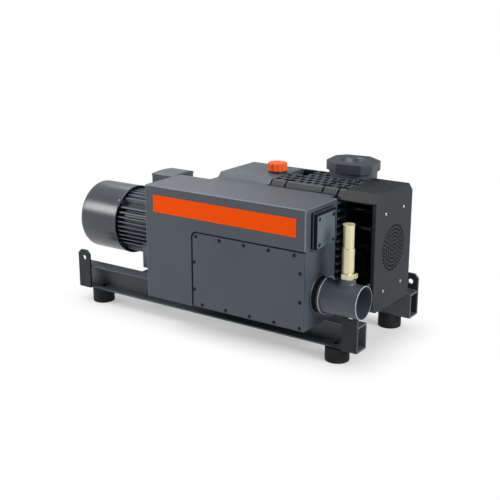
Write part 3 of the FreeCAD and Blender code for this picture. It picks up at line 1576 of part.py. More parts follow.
def valve_guide():
    """The cross with a centre sleeve that guides the non-return disc's stem."""
    sleeve = rod_z(guide_bottom, guide_top, inlet_x, inlet_y, guide_radius)
    arms = []
    reach = inlet_chamber_radius - seat_gap
    half = guide_arm_width / 2
    arms.append(block(inlet_x - reach, inlet_x + reach, inlet_y - half, inlet_y + half, guide_bottom,
                      guide_bottom + guide_arm_width))
    arms.append(block(inlet_x - half, inlet_x + half, inlet_y - reach, inlet_y + reach, guide_bottom,
                      guide_bottom + guide_arm_width))
    cross = joined([sleeve] + arms).common(rod_z(guide_bottom, guide_top, inlet_x, inlet_y, reach))
    return cross.cut(rod_z(guide_bottom, guide_top, inlet_x, inlet_y, disc_stem_radius + run_gap))


def inlet_flange():
    """The oblong inlet flange with cut corners and a round bore, turned to the filter's side."""
    outline = cut_rectangle(inlet_flange_length, inlet_flange_width, inlet_flange_cut)
    plate = prism_z(outline, inlet_flange_bottom, inlet_top)
    plate.rotate(V(0, 0, 0), V(0, 0, 1), inlet_flange_turn)
    plate.translate(V(inlet_x, inlet_y, 0))
    return plate.cut(rod_z(inlet_flange_bottom, inlet_top, inlet_x, inlet_y, inlet_bore_radius))


def nonreturn_disc():
    """The disc that closes the inlet when the machine stops, with its stem."""
    disc = rod_z(disc_bottom, disc_top, inlet_x, inlet_y, disc_radius)
    stem = rod_z(disc_stem_bottom, disc_bottom, inlet_x, inlet_y, disc_stem_radius)
    return joined([disc, stem])


def inlet_unit():
    save("inlet_manifold", inlet_manifold())
    save("inlet_valve_guide", valve_guide())
    save("inlet_flange", inlet_flange())
    save("nonreturn_disc", nonreturn_disc())
    save("nonreturn_spring", coil_spring(inlet_x, inlet_y, guide_bottom + guide_arm_width, disc_bottom,
                                         inlet_spring_radius, inlet_spring_turns, spring_wire))


base_frame()
compressor_stage()
hood()
motor_unit()
silencer_unit()
relief_valve()
inlet_unit()
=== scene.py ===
# %% [markdown]
# # Dressing a claw compressor
#
# A claw compressor squeezes air between two hooked rotors that never touch. The machine stands on two steel
# channels: a round motor at the left, a gear case and a ribbed cylinder block in the middle, a fan hood at the
# right, and a long silencer in front with an orange stripe. Its parts already exist as exact solids. Here they
# get their finishes, their rounded edges and the turned, bent and moulded pieces that need a finer mesh.

# %% Load the solids
import math

import bmesh
import bpy
from mathutils import Matrix, Vector


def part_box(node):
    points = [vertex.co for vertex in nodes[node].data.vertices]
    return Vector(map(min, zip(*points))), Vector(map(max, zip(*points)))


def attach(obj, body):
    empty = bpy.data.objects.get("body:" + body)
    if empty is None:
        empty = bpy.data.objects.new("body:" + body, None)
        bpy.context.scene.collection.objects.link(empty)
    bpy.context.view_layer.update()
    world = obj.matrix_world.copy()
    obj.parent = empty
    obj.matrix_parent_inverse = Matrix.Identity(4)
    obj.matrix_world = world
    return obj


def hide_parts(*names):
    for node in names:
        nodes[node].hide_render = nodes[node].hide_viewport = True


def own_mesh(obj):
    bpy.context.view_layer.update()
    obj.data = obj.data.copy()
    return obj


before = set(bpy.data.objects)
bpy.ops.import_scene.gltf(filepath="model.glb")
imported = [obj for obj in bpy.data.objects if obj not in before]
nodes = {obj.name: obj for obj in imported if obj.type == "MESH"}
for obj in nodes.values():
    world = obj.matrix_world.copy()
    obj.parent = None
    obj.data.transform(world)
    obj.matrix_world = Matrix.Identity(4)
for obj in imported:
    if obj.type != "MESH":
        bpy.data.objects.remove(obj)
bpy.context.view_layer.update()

# %% [markdown]
# ## The camera
#
# The machine is seen from the front right and a little from above, through a long lens, so that level edges
# hardly converge. A long lens is a small angle of view: at a distance of more than five metres the machine
# fills the frame. The camera's turn about the vertical and its tilt are set as two plain angles.

# %% Place the camera
view_turn = math.radians(34.51)
view_tilt = math.radians(16.68)
lens = bpy.data.cameras.new("studio_lens")
lens.sensor_width = 36.0
lens.lens = 68.55
camera = bpy.data.objects.new("studio_camera", lens)
camera.location = (3.0283, -4.3170, 1.9590)
camera.rotation_euler = (math.pi / 2 - view_tilt, 0.0, view_turn)
bpy.context.scene.collection.objects.link(camera)
bpy.context.scene.camera = camera
print("camera at", [round(c, 3) for c in camera.location], "lens", lens.lens, "mm")

# %% [markdown]
# ## Floor
#
# Product pictures of machines stand on a white sweep, where the floor turns into the background with no
# horizon. Here the floor is one large sheet. Near the machine it is matt white paint that takes the soft
# shadow. What the camera sees of it is half lit by its own white, so the shadow stays light, and a hand's width
# outside the machine's footprint only that white is left.
#
# Blender makes a finish from nodes that are joined by links. A few helpers each add one node and join it to what
# it is given, and one of them tells apart the rays that show a surface from the rays that light it.

# %% One node at a time
def add_node(tree, kind, inputs=None, **settings):
    """A new node: a plain value goes into its socket, and another node's output is linked to it."""
    node = tree.nodes.new("ShaderNode" + kind)
    for name, value in settings.items():
        setattr(node, name, value)
    for socket, value in (inputs or {}).items():
        if isinstance(value, bpy.types.NodeSocket):
            tree.links.new(value, node.inputs[socket])
        else:
            node.inputs[socket].default_value = value
    return node


def empty_tree(owner):
    """The node tree of a material or of the sky, cleared for our own nodes."""
    owner.use_nodes = True
    owner.node_tree.nodes.clear()
    return owner.node_tree


def vector_math(tree, operation, first, second=None):
    """One step of vector arithmetic; a length and a dot product come out as a plain number."""
    inputs = {0: first} if second is None else {0: first, 1: second}
    result = "Value" if operation in ("LENGTH", "DOT_PRODUCT") else "Vector"
    return add_node(tree, "VectorMath", inputs, operation=operation).outputs[result]


def remap(tree, value, start, stop, at_start, at_stop, smooth=False):
    """The way of the value from start to stop becomes the way from at_start to at_stop."""
    inputs = {"Value": value, "From Min": start, "From Max": stop, "To Min": at_start, "To Max": at_stop}
    return add_node(tree, "MapRange", inputs, interpolation_type="SMOOTHSTEP" if smooth else "LINEAR").outputs[0]


def larger(tree, first, second):
    """The larger of two numbers."""
    return add_node(tree, "Math", {0: first, 1: second}, operation="MAXIMUM").outputs[0]


def seen_directly(tree, gloss=True):
    """One for rays from the camera, through glass or off a gloss, and zero for rays that light a surface."""
    ray = add_node(tree, "LightPath").outputs
    seen = larger(tree, ray["Is Camera Ray"], ray["Is Transmission Ray"])
    return larger(tree, seen, ray["Is Glossy Ray"]) if gloss else seen


print("node helpers ready")

# %% [markdown]
# The floor's glow depends on how far a point lies outside the machine's footprint. Taking the footprint's half
# length and half depth off the point's own place leaves just that distance, with rounded corners for free.

# %% Make the floor
floor_reach = 60.0
footprint_half = (0.86, 0.29, 0.0)
glow_starts, glow_is_full = -0.05, 0.30
glow_near = 0.38
floor_mesh = bpy.data.meshes.new("studio_floor")
floor_mesh.from_pydata([(x, y, 0) for x, y in ((-floor_reach, -floor_reach), (floor_reach, -floor_reach),
                                               (floor_reach, floor_reach), (-floor_reach, floor_reach))], [],
                       [(0, 1, 2, 3)])
floor = bpy.data.objects.new("studio_floor", floor_mesh)
floor.location.z = -0.0005
bpy.context.scene.collection.objects.link(floor)
floor_paint = bpy.data.materials.new("floor_white")
tree = empty_tree(floor_paint)
matt = add_node(tree, "BsdfDiffuse", {"Color": (0.76, 0.76, 0.765, 1)})
glow = add_node(tree, "Emission", {"Strength": 1.0})
outside = vector_math(tree, "ABSOLUTE", add_node(tree, "TexCoord").outputs["Object"])
outside = vector_math(tree, "SUBTRACT", outside, footprint_half)
outside = vector_math(tree, "MAXIMUM", outside, (0.0, 0.0, 0.0))
fade = remap(tree, vector_math(tree, "LENGTH", outside), glow_starts, glow_is_full, glow_near, 1.0, smooth=True)
share = add_node(tree, "Math", {0: fade, 1: seen_directly(tree)}, operation="MULTIPLY")
mix = add_node(tree, "MixShader", {"Fac": share.outputs[0], 1: matt.outputs[0], 2: glow.outputs[0]})
add_node(tree, "OutputMaterial", {"Surface": mix.outputs[0]})
floor_mesh.materials.append(floor_paint)
print("floor", 2 * floor_reach, "m wide")

# %% [markdown]
# ## Light
#
# The left side of a machine like this is drawn by light and the right side by shadow. A wide lamp hangs
# overhead, a second one stands at the front left and runs a broad band along the cowl, a third one high at the
# back left glazes the tops. A fourth one stands at the right and lights only what faces that way, so that the
# silencer's end comes forward from the dark.

# %% Hang the lamps
def lamp(name, place, aim, size, power, size_y=None):
    """A square or oblong lamp at a place, turned to what it lights."""
    light = bpy.data.lights.new(name, "AREA")
    light.shape = "RECTANGLE"
    light.size = size
    light.size_y = size_y or size
    light.energy = power
    thing = bpy.data.objects.new(name, light)
    thing.location = place
    thing.rotation_euler = (Vector(aim) - Vector(place)).to_track_quat("-Z", "Y").to_euler()
    bpy.context.scene.collection.objects.link(thing)


lamp("overhead_lamp", (-1.3, -0.5, 3.6), (-0.4, 0, 0.4), 2.0, 58)
lamp("front_left_lamp", (-3.45, -2.75, 2.15), (-0.8, -0.1, 0.5), 1.75, 76, 1.3)
lamp("back_left_lamp", (-3.2, 2.8, 4.2), (-0.4, 0, 0.7), 2.4, 42)
lamp("right_lamp", (5.0, -0.75, 2.9), (0.9, -0.3, 0.5), 2.4, 245)

# %% [markdown]
# The sky behind it all is seen as plain white. As a light it is a soft gradient from a bright left to a dim
# right, which lets the flat tops fade along the machine, and in a gloss it is a gradient too, so that paint
# mirrors a studio and not a sheet of paper.

# %% Paint the sky
sky = bpy.data.worlds.new("studio_sky")
bpy.context.scene.world = sky
tree = empty_tree(sky)
leftness = vector_math(tree, "DOT_PRODUCT", add_node(tree, "TexCoord").outputs["Generated"], (-1.0, 0.0, 0.15))
dim_side, bright_side = 0.35, 0.75
lighting = remap(tree, leftness, dim_side, bright_side, 0.16, 1.1, smooth=True)
mirrored = remap(tree, leftness, dim_side, bright_side, 0.18, 0.72, smooth=True)
dim = add_node(tree, "Background", {"Color": (0.88, 0.93, 1.0, 1), "Strength": lighting})
white = add_node(tree, "Background", {"Color": (1.0, 1.0, 1.0, 1),
                                      "Strength": larger(tree, mirrored, seen_directly(tree, gloss=False))})
choose = add_node(tree, "MixShader", {"Fac": seen_directly(tree), 1: dim.outputs[0], 2: white.outputs[0]})
add_node(tree, "OutputWorld", {"Surface": choose.outputs[0]})
bpy.context.scene.view_settings.view_transform = "Standard"
print("sky nodes:", len(tree.nodes))

# %% [markdown]
# ## Finishes
#
# Nearly everything is sprayed in one dark blue-grey. Cast pieces keep the grain of their sand mould under the
# paint, sheet pieces are smooth with a faint orange peel. Both are the same recipe with another bump, so one
# function makes them: slow noise shifts the shade a little, fast noise gives the bump and breaks up the gloss.

# %% Noise, shade and bump
noise_low, noise_high = 0.3, 0.7


def noise(tree, scale, detail=3.0, rough=0.5, stretch=None):
    """Noise over the piece's own place; stretch squeezes it along one axis."""
    place = add_node(tree, "TexCoord").outputs["Object"]
    if stretch:
        place = add_node(tree, "Mapping", {"Vector": place, "Scale": stretch}).outputs[0]
    return add_node(tree, "TexNoise", {"Vector": place, "Scale": scale, "Detail": detail,
                                       "Roughness": rough}).outputs["Fac"]


def shade_between(tree, factor, dark, light):
    """A colour that goes from dark to light as the noise does."""
    ramp = add_node(tree, "ValToRGB", {"Fac": factor})
    for element, position, shade in zip(ramp.color_ramp.elements, (noise_low, noise_high), (dark, light)):
        element.position = position
        element.color = (*shade, 1)
    return ramp.outputs["Color"]


def bump(tree, height, distance):
    """Normals that a height of the given size would give."""
    return add_node(tree, "Bump", {"Height": height, "Distance": distance, "Strength": 1.0}).outputs[0]


print("noise, shade and bump ready")

# %% [markdown]
# Three things keep paint from looking like a flat fill. Rounded edges get lighter paint, partly rubbed thin and
# partly a painted highlight: on a box, those are the places whose normal leaves the six directions of the faces.
# Between a motor's fins painted shade darkens the paint towards the axis and painted light brightens the fin tips,
# and between a casting's ribs painted shade darkens it below their tips. Both are a share of the colour that falls
# with the depth under the outline, so they stay on the piece however it is turned.

# %% Worn and highlighted edges, painted shade between fins and ribs
def edge_wear_and_highlight(tree, colour, wear_and_highlight):
    """Lighter paint on a box's rounded edges, where its surface leaves its six directions: partly wear, partly a
    painted highlight.
    """
    parts = add_node(tree, "SeparateXYZ", {
        0: vector_math(tree, "ABSOLUTE", add_node(tree, "NewGeometry").outputs["Normal"])}).outputs
    flat = larger(tree, larger(tree, parts["X"], parts["Y"]), parts["Z"])
    return add_node(tree, "Mix", {"Factor": remap(tree, flat, 0.98, 0.84, 0.0, 1.0), "A": colour,
                                  "B": (*wear_and_highlight, 1)}, data_type="RGBA").outputs["Result"]


def dimmed(tree, colour, share):
    """The colour times a number."""
    return add_node(tree, "VectorMath", {0: colour, "Scale": share}, operation="SCALE").outputs["Vector"]


def painted_fin_shading(tree, colour, axis, deep, outer):
    """Painted shade, darker towards the axis of a ribbed drum, and painted light at its tips: axis is its (y, z),
    deep and outer are two radii.
    """
    from_axis = vector_math(tree, "SUBTRACT", add_node(tree, "TexCoord").outputs["Object"], (0.0, *axis))
    radius = vector_math(tree, "LENGTH", vector_math(tree, "MULTIPLY", from_axis, (0.0, 1.0, 1.0)))
    return dimmed(tree, colour, remap(tree, radius, deep, outer, 0.10, 1.5))


def painted_rib_shading(tree, colour, planes, near, far):
    """Painted shade, darker below a casting's outline: each plane is (normal, offset) and gives the depth under one
    side.
    """
    place = add_node(tree, "TexCoord").outputs["Object"]
    depth = None
    for normal, offset in planes:
        under = add_node(tree, "Math", {0: offset, 1: vector_math(tree, "DOT_PRODUCT", place, normal)},
                         operation="SUBTRACT").outputs[0]
        depth = add_node(tree, "Math", {0: depth, 1: under}, operation="MINIMUM").outputs[0] if depth else under
    return dimmed(tree, colour, remap(tree, depth, near, far, 1.1, 0.08))


print("wear, dust and soot ready")

# %% One recipe for every opaque surface
def surface(name, dark, light, shade_scale, gloss, grain_scale, grain_height, metal=0.0, stretch=None, shine=0.5,
            wear_and_highlight=None, fin_shading=None, rib_shading=None):
    """One finish; shade_scale and grain_scale say how fine its two noises are, gloss is its range of roughness."""
    finish = bpy.data.materials.new(name)
    tree = empty_tree(finish)
    colour = shade_between(tree, noise(tree, shade_scale), dark, light)
    if wear_and_highlight:
        colour = edge_wear_and_highlight(tree, colour, wear_and_highlight)
    if fin_shading:
        colour = painted_fin_shading(tree, colour, *fin_shading)
    if rib_shading:
        colour = painted_rib_shading(tree, colour, *rib_shading)
    grain = noise(tree, grain_scale, 4.0, 0.55, stretch)
    shader = add_node(tree, "BsdfPrincipled", {
        "Base Color": colour, "Metallic": metal, "Specular IOR Level": shine,
        "Roughness": remap(tree, grain, noise_low, noise_high, *gloss), "Normal": bump(tree, grain, grain_height)})
    add_node(tree, "OutputMaterial", {"Surface": shader.outputs[0]})
    return finish


def tinted(colour, share):
    """A darker or lighter mix of one paint."""
    return tuple(c * share for c in colour)


print("recipe ready")

# %% [markdown]
# A casting's grain is coarse and tall, a sheet's is fine and low, so each has its four numbers under one name.
# The block's ribs need to know where their outline lies: its top, its front, its rear and the slanting cut
# between top and front are read from the solid.

# %% Paints
machine_blue = (0.055, 0.069, 0.083)
cast_grain = (9.0, (0.40, 0.58), 420.0, 0.0004)
sheet_grain = (3.0, (0.36, 0.46), 260.0, 0.00006)
beam_grain = (7.0, (0.42, 0.56), 300.0, 0.0002)
block_low, block_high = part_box("cylinder")
block_cut = 0.043
slant = math.sqrt(0.5)
block_sides = [((0.0, 0.0, 1.0), block_high[2]), ((0.0, -1.0, 0.0), -block_low[1]), ((0.0, 1.0, 0.0), block_high[1]),
               ((0.0, -slant, slant), (block_high[2] - block_low[1] - block_cut) * slant)]
motor_axis = (-0.042, 0.462)
fin_root, fin_tip = 0.162, 0.188

# The light edge colours given below are partly paint rubbed thin and partly a painted highlight.
cast_paint = surface("cast_paint", tinted(machine_blue, 0.80), machine_blue, *cast_grain)
sheet_paint = surface("sheet_paint", tinted(machine_blue, 0.90), machine_blue, *sheet_grain)
# Painted shade darkens this paint between the block's ribs.
rib_paint = surface("rib_paint", tinted(machine_blue, 0.80), machine_blue, *cast_grain, shine=0.4,
                    rib_shading=(block_sides, 0.0015, 0.0080))
# A darker copy of the machine's paint: painted shade on the inlet flange.
shaded_flange_paint = surface("shaded_flange_paint", tinted(machine_blue, 0.55), tinted(machine_blue, 0.66), *cast_grain, shine=0.4)
housing_paint = surface("housing_paint", tinted(machine_blue, 0.90), machine_blue, *sheet_grain,
                        wear_and_highlight=(0.155, 0.175, 0.195))
# Light paint for thin hoops: painted highlights along round edges.
highlight_paint = surface("highlight_paint", (0.34, 0.36, 0.38), (0.46, 0.485, 0.51), 60.0, (0.30, 0.42), 300.0, 0.00006)
hood_paint = surface("hood_paint", (0.022, 0.0255, 0.029), (0.027, 0.031, 0.035), 4.0, (0.46, 0.58), 520.0,
                     0.00012, shine=0.10, wear_and_highlight=(0.050, 0.050, 0.051))
frame_paint = surface("frame_paint", (0.018, 0.023, 0.027), (0.024, 0.029, 0.035), *beam_grain, shine=0.25,
                      wear_and_highlight=(0.13, 0.145, 0.16))
# A lighter copy of the frame's paint: painted light on the channels, which lie in shade.
lit_beam_paint = surface("lit_beam_paint", (0.054, 0.064, 0.073), (0.068, 0.079, 0.090), *beam_grain,
                     wear_and_highlight=(0.38, 0.40, 0.42))
motor_paint = surface("motor_paint", tinted(machine_blue, 0.52), tinted(machine_blue, 0.62), 6.0, (0.24, 0.31), 240.0,
                      0.00006, stretch=(6.0, 1.0, 1.0), shine=0.6)
# A lighter copy of the motor's paint, with painted shade between the fins and painted light on their tips.
fin_paint = surface("fin_paint", tinted(machine_blue, 1.1), tinted(machine_blue, 1.3), 6.0, (0.34, 0.42), 240.0,
                    0.00006, fin_shading=(motor_axis, fin_root, fin_tip))
# A lighter copy of the machine's paint: painted light on the gear case.
lit_gear_paint = surface("lit_gear_paint", tinted(machine_blue, 1.15), tinted(machine_blue, 1.4), *cast_grain)
# A lighter copy of the machine's paint: painted light on the silencer's end cover.
lit_cover_paint = surface("lit_cover_paint", tinted(machine_blue, 1.6), tinted(machine_blue, 1.8), *sheet_grain)
stripe_paint = surface("stripe_paint", (0.97, 0.078, 0.0), (1.0, 0.088, 0.001), 4.0, (0.5, 0.6), 300.0, 0.00003,
                       shine=0.05)
print("paints:", len(bpy.data.materials) - 1)

# %% [markdown]
# Moulded plastic and rubber take their colour all through and their grain from the mould. Rubber is nearly
# black and hardly shines, plastic keeps a soft light on its rounds.

# %% Plastic and rubber
cap_plastic = surface("cap_plastic", (0.97, 0.115, 0.020), (1.0, 0.140, 0.028), 30.0, (0.4, 0.5), 700.0, 0.00008,
                      shine=0.15)
black_plastic = surface("black_plastic", (0.012, 0.012, 0.013), (0.02, 0.02, 0.022), 20.0, (0.45, 0.6), 800.0, 0.0001,
                        shine=0.3)
foot_rubber = surface("foot_rubber", (0.007, 0.008, 0.009), (0.012, 0.013, 0.014), 25.0, (0.55, 0.75), 900.0, 0.0002,
                      shine=0.25)
seal_rubber = surface("seal_rubber", (0.005, 0.005, 0.006), (0.010, 0.010, 0.011), 40.0, (0.7, 0.85), 900.0, 0.0001,
                      shine=0.12)
star_rubber = surface("star_rubber", (0.42, 0.05, 0.02), (0.52, 0.07, 0.03), 40.0, (0.5, 0.6), 900.0, 0.0001)
print("plastics and rubbers ready")

# %% [markdown]
# Bare metals are metallic all through, and what tells them apart is how they were cut. A turned surface has
# fine rings round its axis, which is noise squeezed along that axis, and a zinc-plated bolt is only mottled.

# %% Bare metal
upright_rings, level_rings, stacked_sheets = (1.0, 1.0, 40.0), (60.0, 1.0, 1.0), (30.0, 1.0, 1.0)
pale_brass = surface("pale_brass", (0.68, 0.62, 0.41), (0.74, 0.68, 0.46), 14.0, (0.42, 0.50), 30.0, 0.000002,
                     metal=1.0, stretch=upright_rings)
bolt_zinc = surface("bolt_zinc", (0.42, 0.44, 0.47), (0.58, 0.6, 0.63), 90.0, (0.25, 0.4), 700.0, 0.00004, metal=1.0)
black_steel = surface("black_steel", (0.006, 0.007, 0.008), (0.010, 0.011, 0.012), 90.0, (0.18, 0.28), 700.0,
                      0.00004, shine=0.2)
turned_steel = surface("turned_steel", (0.45, 0.46, 0.48), (0.56, 0.57, 0.59), 40.0, (0.22, 0.36), 60.0, 0.00002,
                       metal=1.0, stretch=level_rings)
spring_steel = surface("spring_steel", (0.35, 0.36, 0.38), (0.48, 0.49, 0.51), 90.0, (0.3, 0.42), 500.0, 0.00002,
                       metal=1.0)
sheet_stack = surface("sheet_stack", (0.2, 0.2, 0.21), (0.33, 0.33, 0.34), 60.0, (0.4, 0.6), 50.0, 0.0001,
                      metal=1.0, stretch=stacked_sheets)
bare_iron = surface("bare_iron", (0.14, 0.14, 0.145), (0.22, 0.22, 0.225), 50.0, (0.35, 0.55), 500.0, 0.0001,
                    metal=1.0)
print("finishes in all:", len(bpy.data.materials))

# %% [markdown]
# The oil level is read through a small pane. Glass lets the light through, so it has its own short recipe: a
# transmitting surface with the warm tint of the oil behind it.

# %% Glass
level_glass = bpy.data.materials.new("level_glass")
tree = empty_tree(level_glass)
oil_tint = shade_between(tree, noise(tree, 60.0), (0.72, 0.6, 0.32), (0.85, 0.75, 0.5))
clear = add_node(tree, "BsdfPrincipled", {"Transmission Weight": 0.85, "IOR": 1.5, "Roughness": 0.08,
                                          "Base Color": oil_tint})
add_node(tree, "OutputMaterial", {"Surface": clear.outputs[0]})
print("glass ready")

# %% [markdown]
# Every solid gets its finish from one list, so that it's easy to see which pieces share a paint.

# %% Finish of every solid
finish_of = {
    lit_gear_paint: ["gear_case"],
    rib_paint: ["side_plate_gear", "cylinder", "side_plate_fan", "bearing_cover"],
    cast_paint: ["bell_housing", "inlet_manifold"],
    shaded_flange_paint: ["inlet_flange"],
    housing_paint: ["silencer_housing", "access_plate"],
    lit_cover_paint: ["end_cover_plate"],
    lit_beam_paint: ["front_beam", "rear_beam"],
    sheet_paint: ["silencer_baffle", "discharge_flange", "discharge_pipe"],
    fin_paint: ["motor_housing"],
    hood_paint: ["fan_hood"],
    frame_paint: ["lifting_lugs", "cross_members"],
    motor_paint: ["motor_shield_drive", "motor_shield_fan", "fan_cowl", "terminal_box",
                  "terminal_lid"],
    stripe_paint: ["stripe_panel"],
    cap_plastic: ["oil_cap"],
    black_plastic: ["oil_filler_neck", "cable_glands", "drive_fan", "driven_fan", "motor_fan"],
    foot_rubber: ["rubber_feet"],
    seal_rubber: ["silencer_gaskets", "input_seal"],
    star_rubber: ["coupling_spider"],
    pale_brass: ["relief_valve_body", "relief_valve_bonnet", "relief_poppet"],
    bolt_zinc: ["hood_bolts", "oil_drain_plug"],
    black_steel: ["silencer_bolts", "foot_bolts", "hood_spacers"],
    turned_steel: ["drive_shaft", "driven_shaft", "drive_gear", "driven_gear", "shaft_bearings", "nonreturn_disc"],
    spring_steel: ["relief_spring", "nonreturn_spring"],
    sheet_stack: ["stator", "motor_rotor"],
    bare_iron: ["drive_claw", "driven_claw", "coupling_motor_hub", "coupling_drive_hub", "inlet_valve_guide"],
    level_glass: ["oil_sight_glass"],
}
for finish, names in finish_of.items():
    for name in names:
        nodes[name].data.materials.clear()
        nodes[name].data.materials.append(finish)
print("solids with a finish:", sum(len(names) for names in finish_of.values()), "of", len(nodes))

# %% [markdown]
# ## Rounded edges
#
# No casting, weldment or bent sheet has a knife edge, and the thin light line along an edge is what makes
# painted metal look real. The solids are sharp, so each gets a stack of modifiers: weld the shared corners,
# merge flat triangles into whole faces, then bevel every edge that turns by more than 30 degrees.

# %% Round the edges of the solids
def bevelled(thing, width, segments=2):
    """Round the sharp edges, and keep the faces between them flat in the light."""
    bevel = thing.modifiers.new("bevel", "BEVEL")
    bevel.width = width
    bevel.segments = segments
    bevel.limit_method = "ANGLE"
    bevel.angle_limit = math.radians(30)
    bevel.use_clamp_overlap = True
    even = thing.modifiers.new("even", "WEIGHTED_NORMAL")
    even.mode = "FACE_AREA"
    even.weight = 100


def round_edges(name, width):
    """Weld and flatten a solid's triangles, then round its edges."""
    solid = nodes[name]
    weld = solid.modifiers.new("weld", "WELD")
    weld.merge_threshold = 0.00001
    flat = solid.modifiers.new("flat", "DECIMATE")
    flat.decimate_type = "DISSOLVE"
    flat.angle_limit = math.radians(0.5)
    bevelled(solid, width)
    for face in solid.data.polygons:
        face.use_smooth = True


edge_width = {
    "gear_case": 0.003, "side_plate_gear": 0.0015, "cylinder": 0.0015, "side_plate_fan": 0.0015,
    "bearing_cover": 0.0015, "front_beam": 0.003, "rear_beam": 0.003, "lifting_lugs": 0.0022,
    "cross_members": 0.0025, "access_plate": 0.0012, "end_cover_plate": 0.0016, "inlet_flange": 0.0016,
    "terminal_box": 0.002, "silencer_housing": 0.0036, "motor_housing": 0.001, "bell_housing": 0.0025,
    "inlet_manifold": 0.004, "motor_shield_drive": 0.0015, "coupling_motor_hub": 0.001,
    "coupling_drive_hub": 0.001, "drive_fan": 0.0008, "driven_fan": 0.0008, "motor_fan": 0.0008,
    "terminal_lid": 0.0025, "stripe_panel": 0.0004,
}
for name, width in edge_width.items():
    round_edges(name, width)
print("solids with rounded edges:", len(edge_width))

# %% [markdown]
# ## The workshop for new pieces
#
# A new piece starts as corners and faces. Nearly all profiles have arcs in them, and nearly all surfaces here are
# rings of corners, each joined to the next, so those two steps are written once.

# %% Arcs and skins
def arc(along, out, wide, deep, start, stop, steps):
    """Points on a round or oval arc about (along, out), from one angle to another in degrees."""
    angles = [math.radians(start + (stop - start) * i / steps) for i in range(steps + 1)]
    return [(along + wide * math.cos(angle), out + deep * math.sin(angle)) for angle in angles]


def skin(bm, rings, ends=False):
    """Join each ring of corners to the next with faces; ends closes the first and the last ring."""
    for one, two in zip(rings, rings[1:]):
        for i in range(len(one)):
            j = (i + 1) % len(one)
            bm.faces.new((one[i], one[j], two[j], two[i]))
    if ends:
        bm.faces.new(rings[0])
        bm.faces.new(rings[-1])


def circle(a, b, radius, count=32):
    """Points round (a, b)."""
    return [(a + radius * math.cos(2 * math.pi * i / count), b + radius * math.sin(2 * math.pi * i / count))
            for i in range(count)]


print("a quarter arc in 3 steps:", [[round(c, 2) for c in point] for point in arc(0, 0, 1, 1, 0, 90, 3)])

# %% [markdown]
# Round things are best made as on a lathe: a profile of points, each a place along the axis and a radius, is
# carried round the axis. A hexagon is the same thing with a radius that changes with the angle, and a hexagon
# cut by a cone gives the arcs that every real bolt head has. So one small lathe makes feet, pipes, caps, nuts
# and bolt heads.

# %% A small lathe
def lathe(bm, profile, place, axis="Z", around=96, shape=None, closed=False):
    """Turn (along, radius) points about an axis through place; shape changes the radius by angle."""
    def point(along, radius, angle):
        a = radius * math.cos(angle)
        b = radius * math.sin(angle)
        if axis == "X":
            return (along, place[1] + a, place[2] + b)
        if axis == "Y":
            return (place[0] + a, along, place[2] + b)
        return (place[0] + a, place[1] + b, along)

    rings = []
    for along, radius in profile:
        if radius < 1e-7:
            rings.append([bm.verts.new(point(along, 0.0, 0.0))])
            continue
        angles = [2 * math.pi * i / around for i in range(around)]
        rings.append([bm.verts.new(point(along, shape(t, radius) if shape else radius, t)) for t in angles])
    pairs = list(zip(rings, rings[1:])) + ([(rings[-1], rings[0])] if closed else [])
    for low, high in pairs:
        for i in range(around):
            j = (i + 1) % around
            corners = [low[i % len(low)], low[j % len(low)], high[j % len(high)], high[i % len(high)]]
            unique = [v for n, v in enumerate(corners) if v not in corners[:n]]
            if len(unique) > 2:
                bm.faces.new(unique)


def hexagonal(across):
    """A radius that follows a hexagon of the given width across its flats."""
    def shape(angle, radius):
        turn = angle % (math.pi / 3) - math.pi / 6
        return min(radius, across / 2 / math.cos(turn))
    return shape


def oblong(wide, high):
    """A radius that follows a rectangle, so that only its corners keep the round."""
    def shape(angle, radius):
        return min(radius, wide / 2 / max(abs(math.cos(angle)), 1e-6), high / 2 / max(abs(math.sin(angle)), 1e-6))
    return shape


print("lathe ready")

# %% [markdown]
# A mesh becomes a piece when it has a name, a finish, a body to ride on and the solid that it stands for. A new
# piece can take the place of its solid, which is then hidden. Edges that turn by more than 32 degrees stay sharp.

# %% From mesh to piece
made = []


def new_piece(name, bm, finish, like, body="machine", edge=0.0, instead=True, segments=2):
    """A finished piece; like names the solid that it replaces if instead is set."""
    bmesh.ops.recalc_face_normals(bm, faces=bm.faces)
    for line in bm.edges:
        line.smooth = len(line.link_faces) == 2 and line.calc_face_angle() < math.radians(32)
    mesh = bpy.data.meshes.new(name)
    bm.to_mesh(mesh)
    bm.free()
    for face in mesh.polygons:
        face.use_smooth = True
    mesh.materials.append(finish)
    piece = bpy.data.objects.new(name, mesh)
    bpy.context.scene.collection.objects.link(piece)
    if edge:
        bevelled(piece, edge, segments)
    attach(piece, body)
    if instead:
        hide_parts(like)
    made.append(name)
    return piece


# %% [markdown]
# Bolts and feet come as one node with many separate solids. Their places are found by walking from corner to
# corner: all corners that edges join belong to one solid, and its box tells where the new bolt goes.

# %% Where the separate solids are
def solids_in(node):
    """The low and high corners of each separate solid of a node."""
    bm = bmesh.new()
    bm.from_mesh(nodes[node].data)
    bmesh.ops.remove_doubles(bm, verts=bm.verts, dist=0.00001)
    waiting = set(bm.verts)
    boxes = []
    while waiting:
        front = [waiting.pop()]
        group = []
        while front:
            vert = front.pop()
            group.append(vert.co.copy())
            for edge in vert.link_edges:
                other = edge.other_vert(vert)
                if other in waiting:
                    waiting.remove(other)
                    front.append(other)
        boxes.append(([min(p[i] for p in group) for i in range(3)], [max(p[i] for p in group) for i in range(3)]))
    bm.free()
    return sorted(boxes)


def middle(low, high):
    """The centre of a box."""
    return [(low[i] + high[i]) / 2 for i in range(3)]


print("feet:", len(solids_in("rubber_feet")), "silencer bolts:", len(solids_in("silencer_bolts")))

# %% [markdown]
# ## Rubber feet
#
# Four round buffers carry the frame. Each is a moulded rubber block with shallow grooves round it and a small
# radius at its rims, so that it can squash a little. The grooves are rounded, because a mould has no sharp
# inner corners.

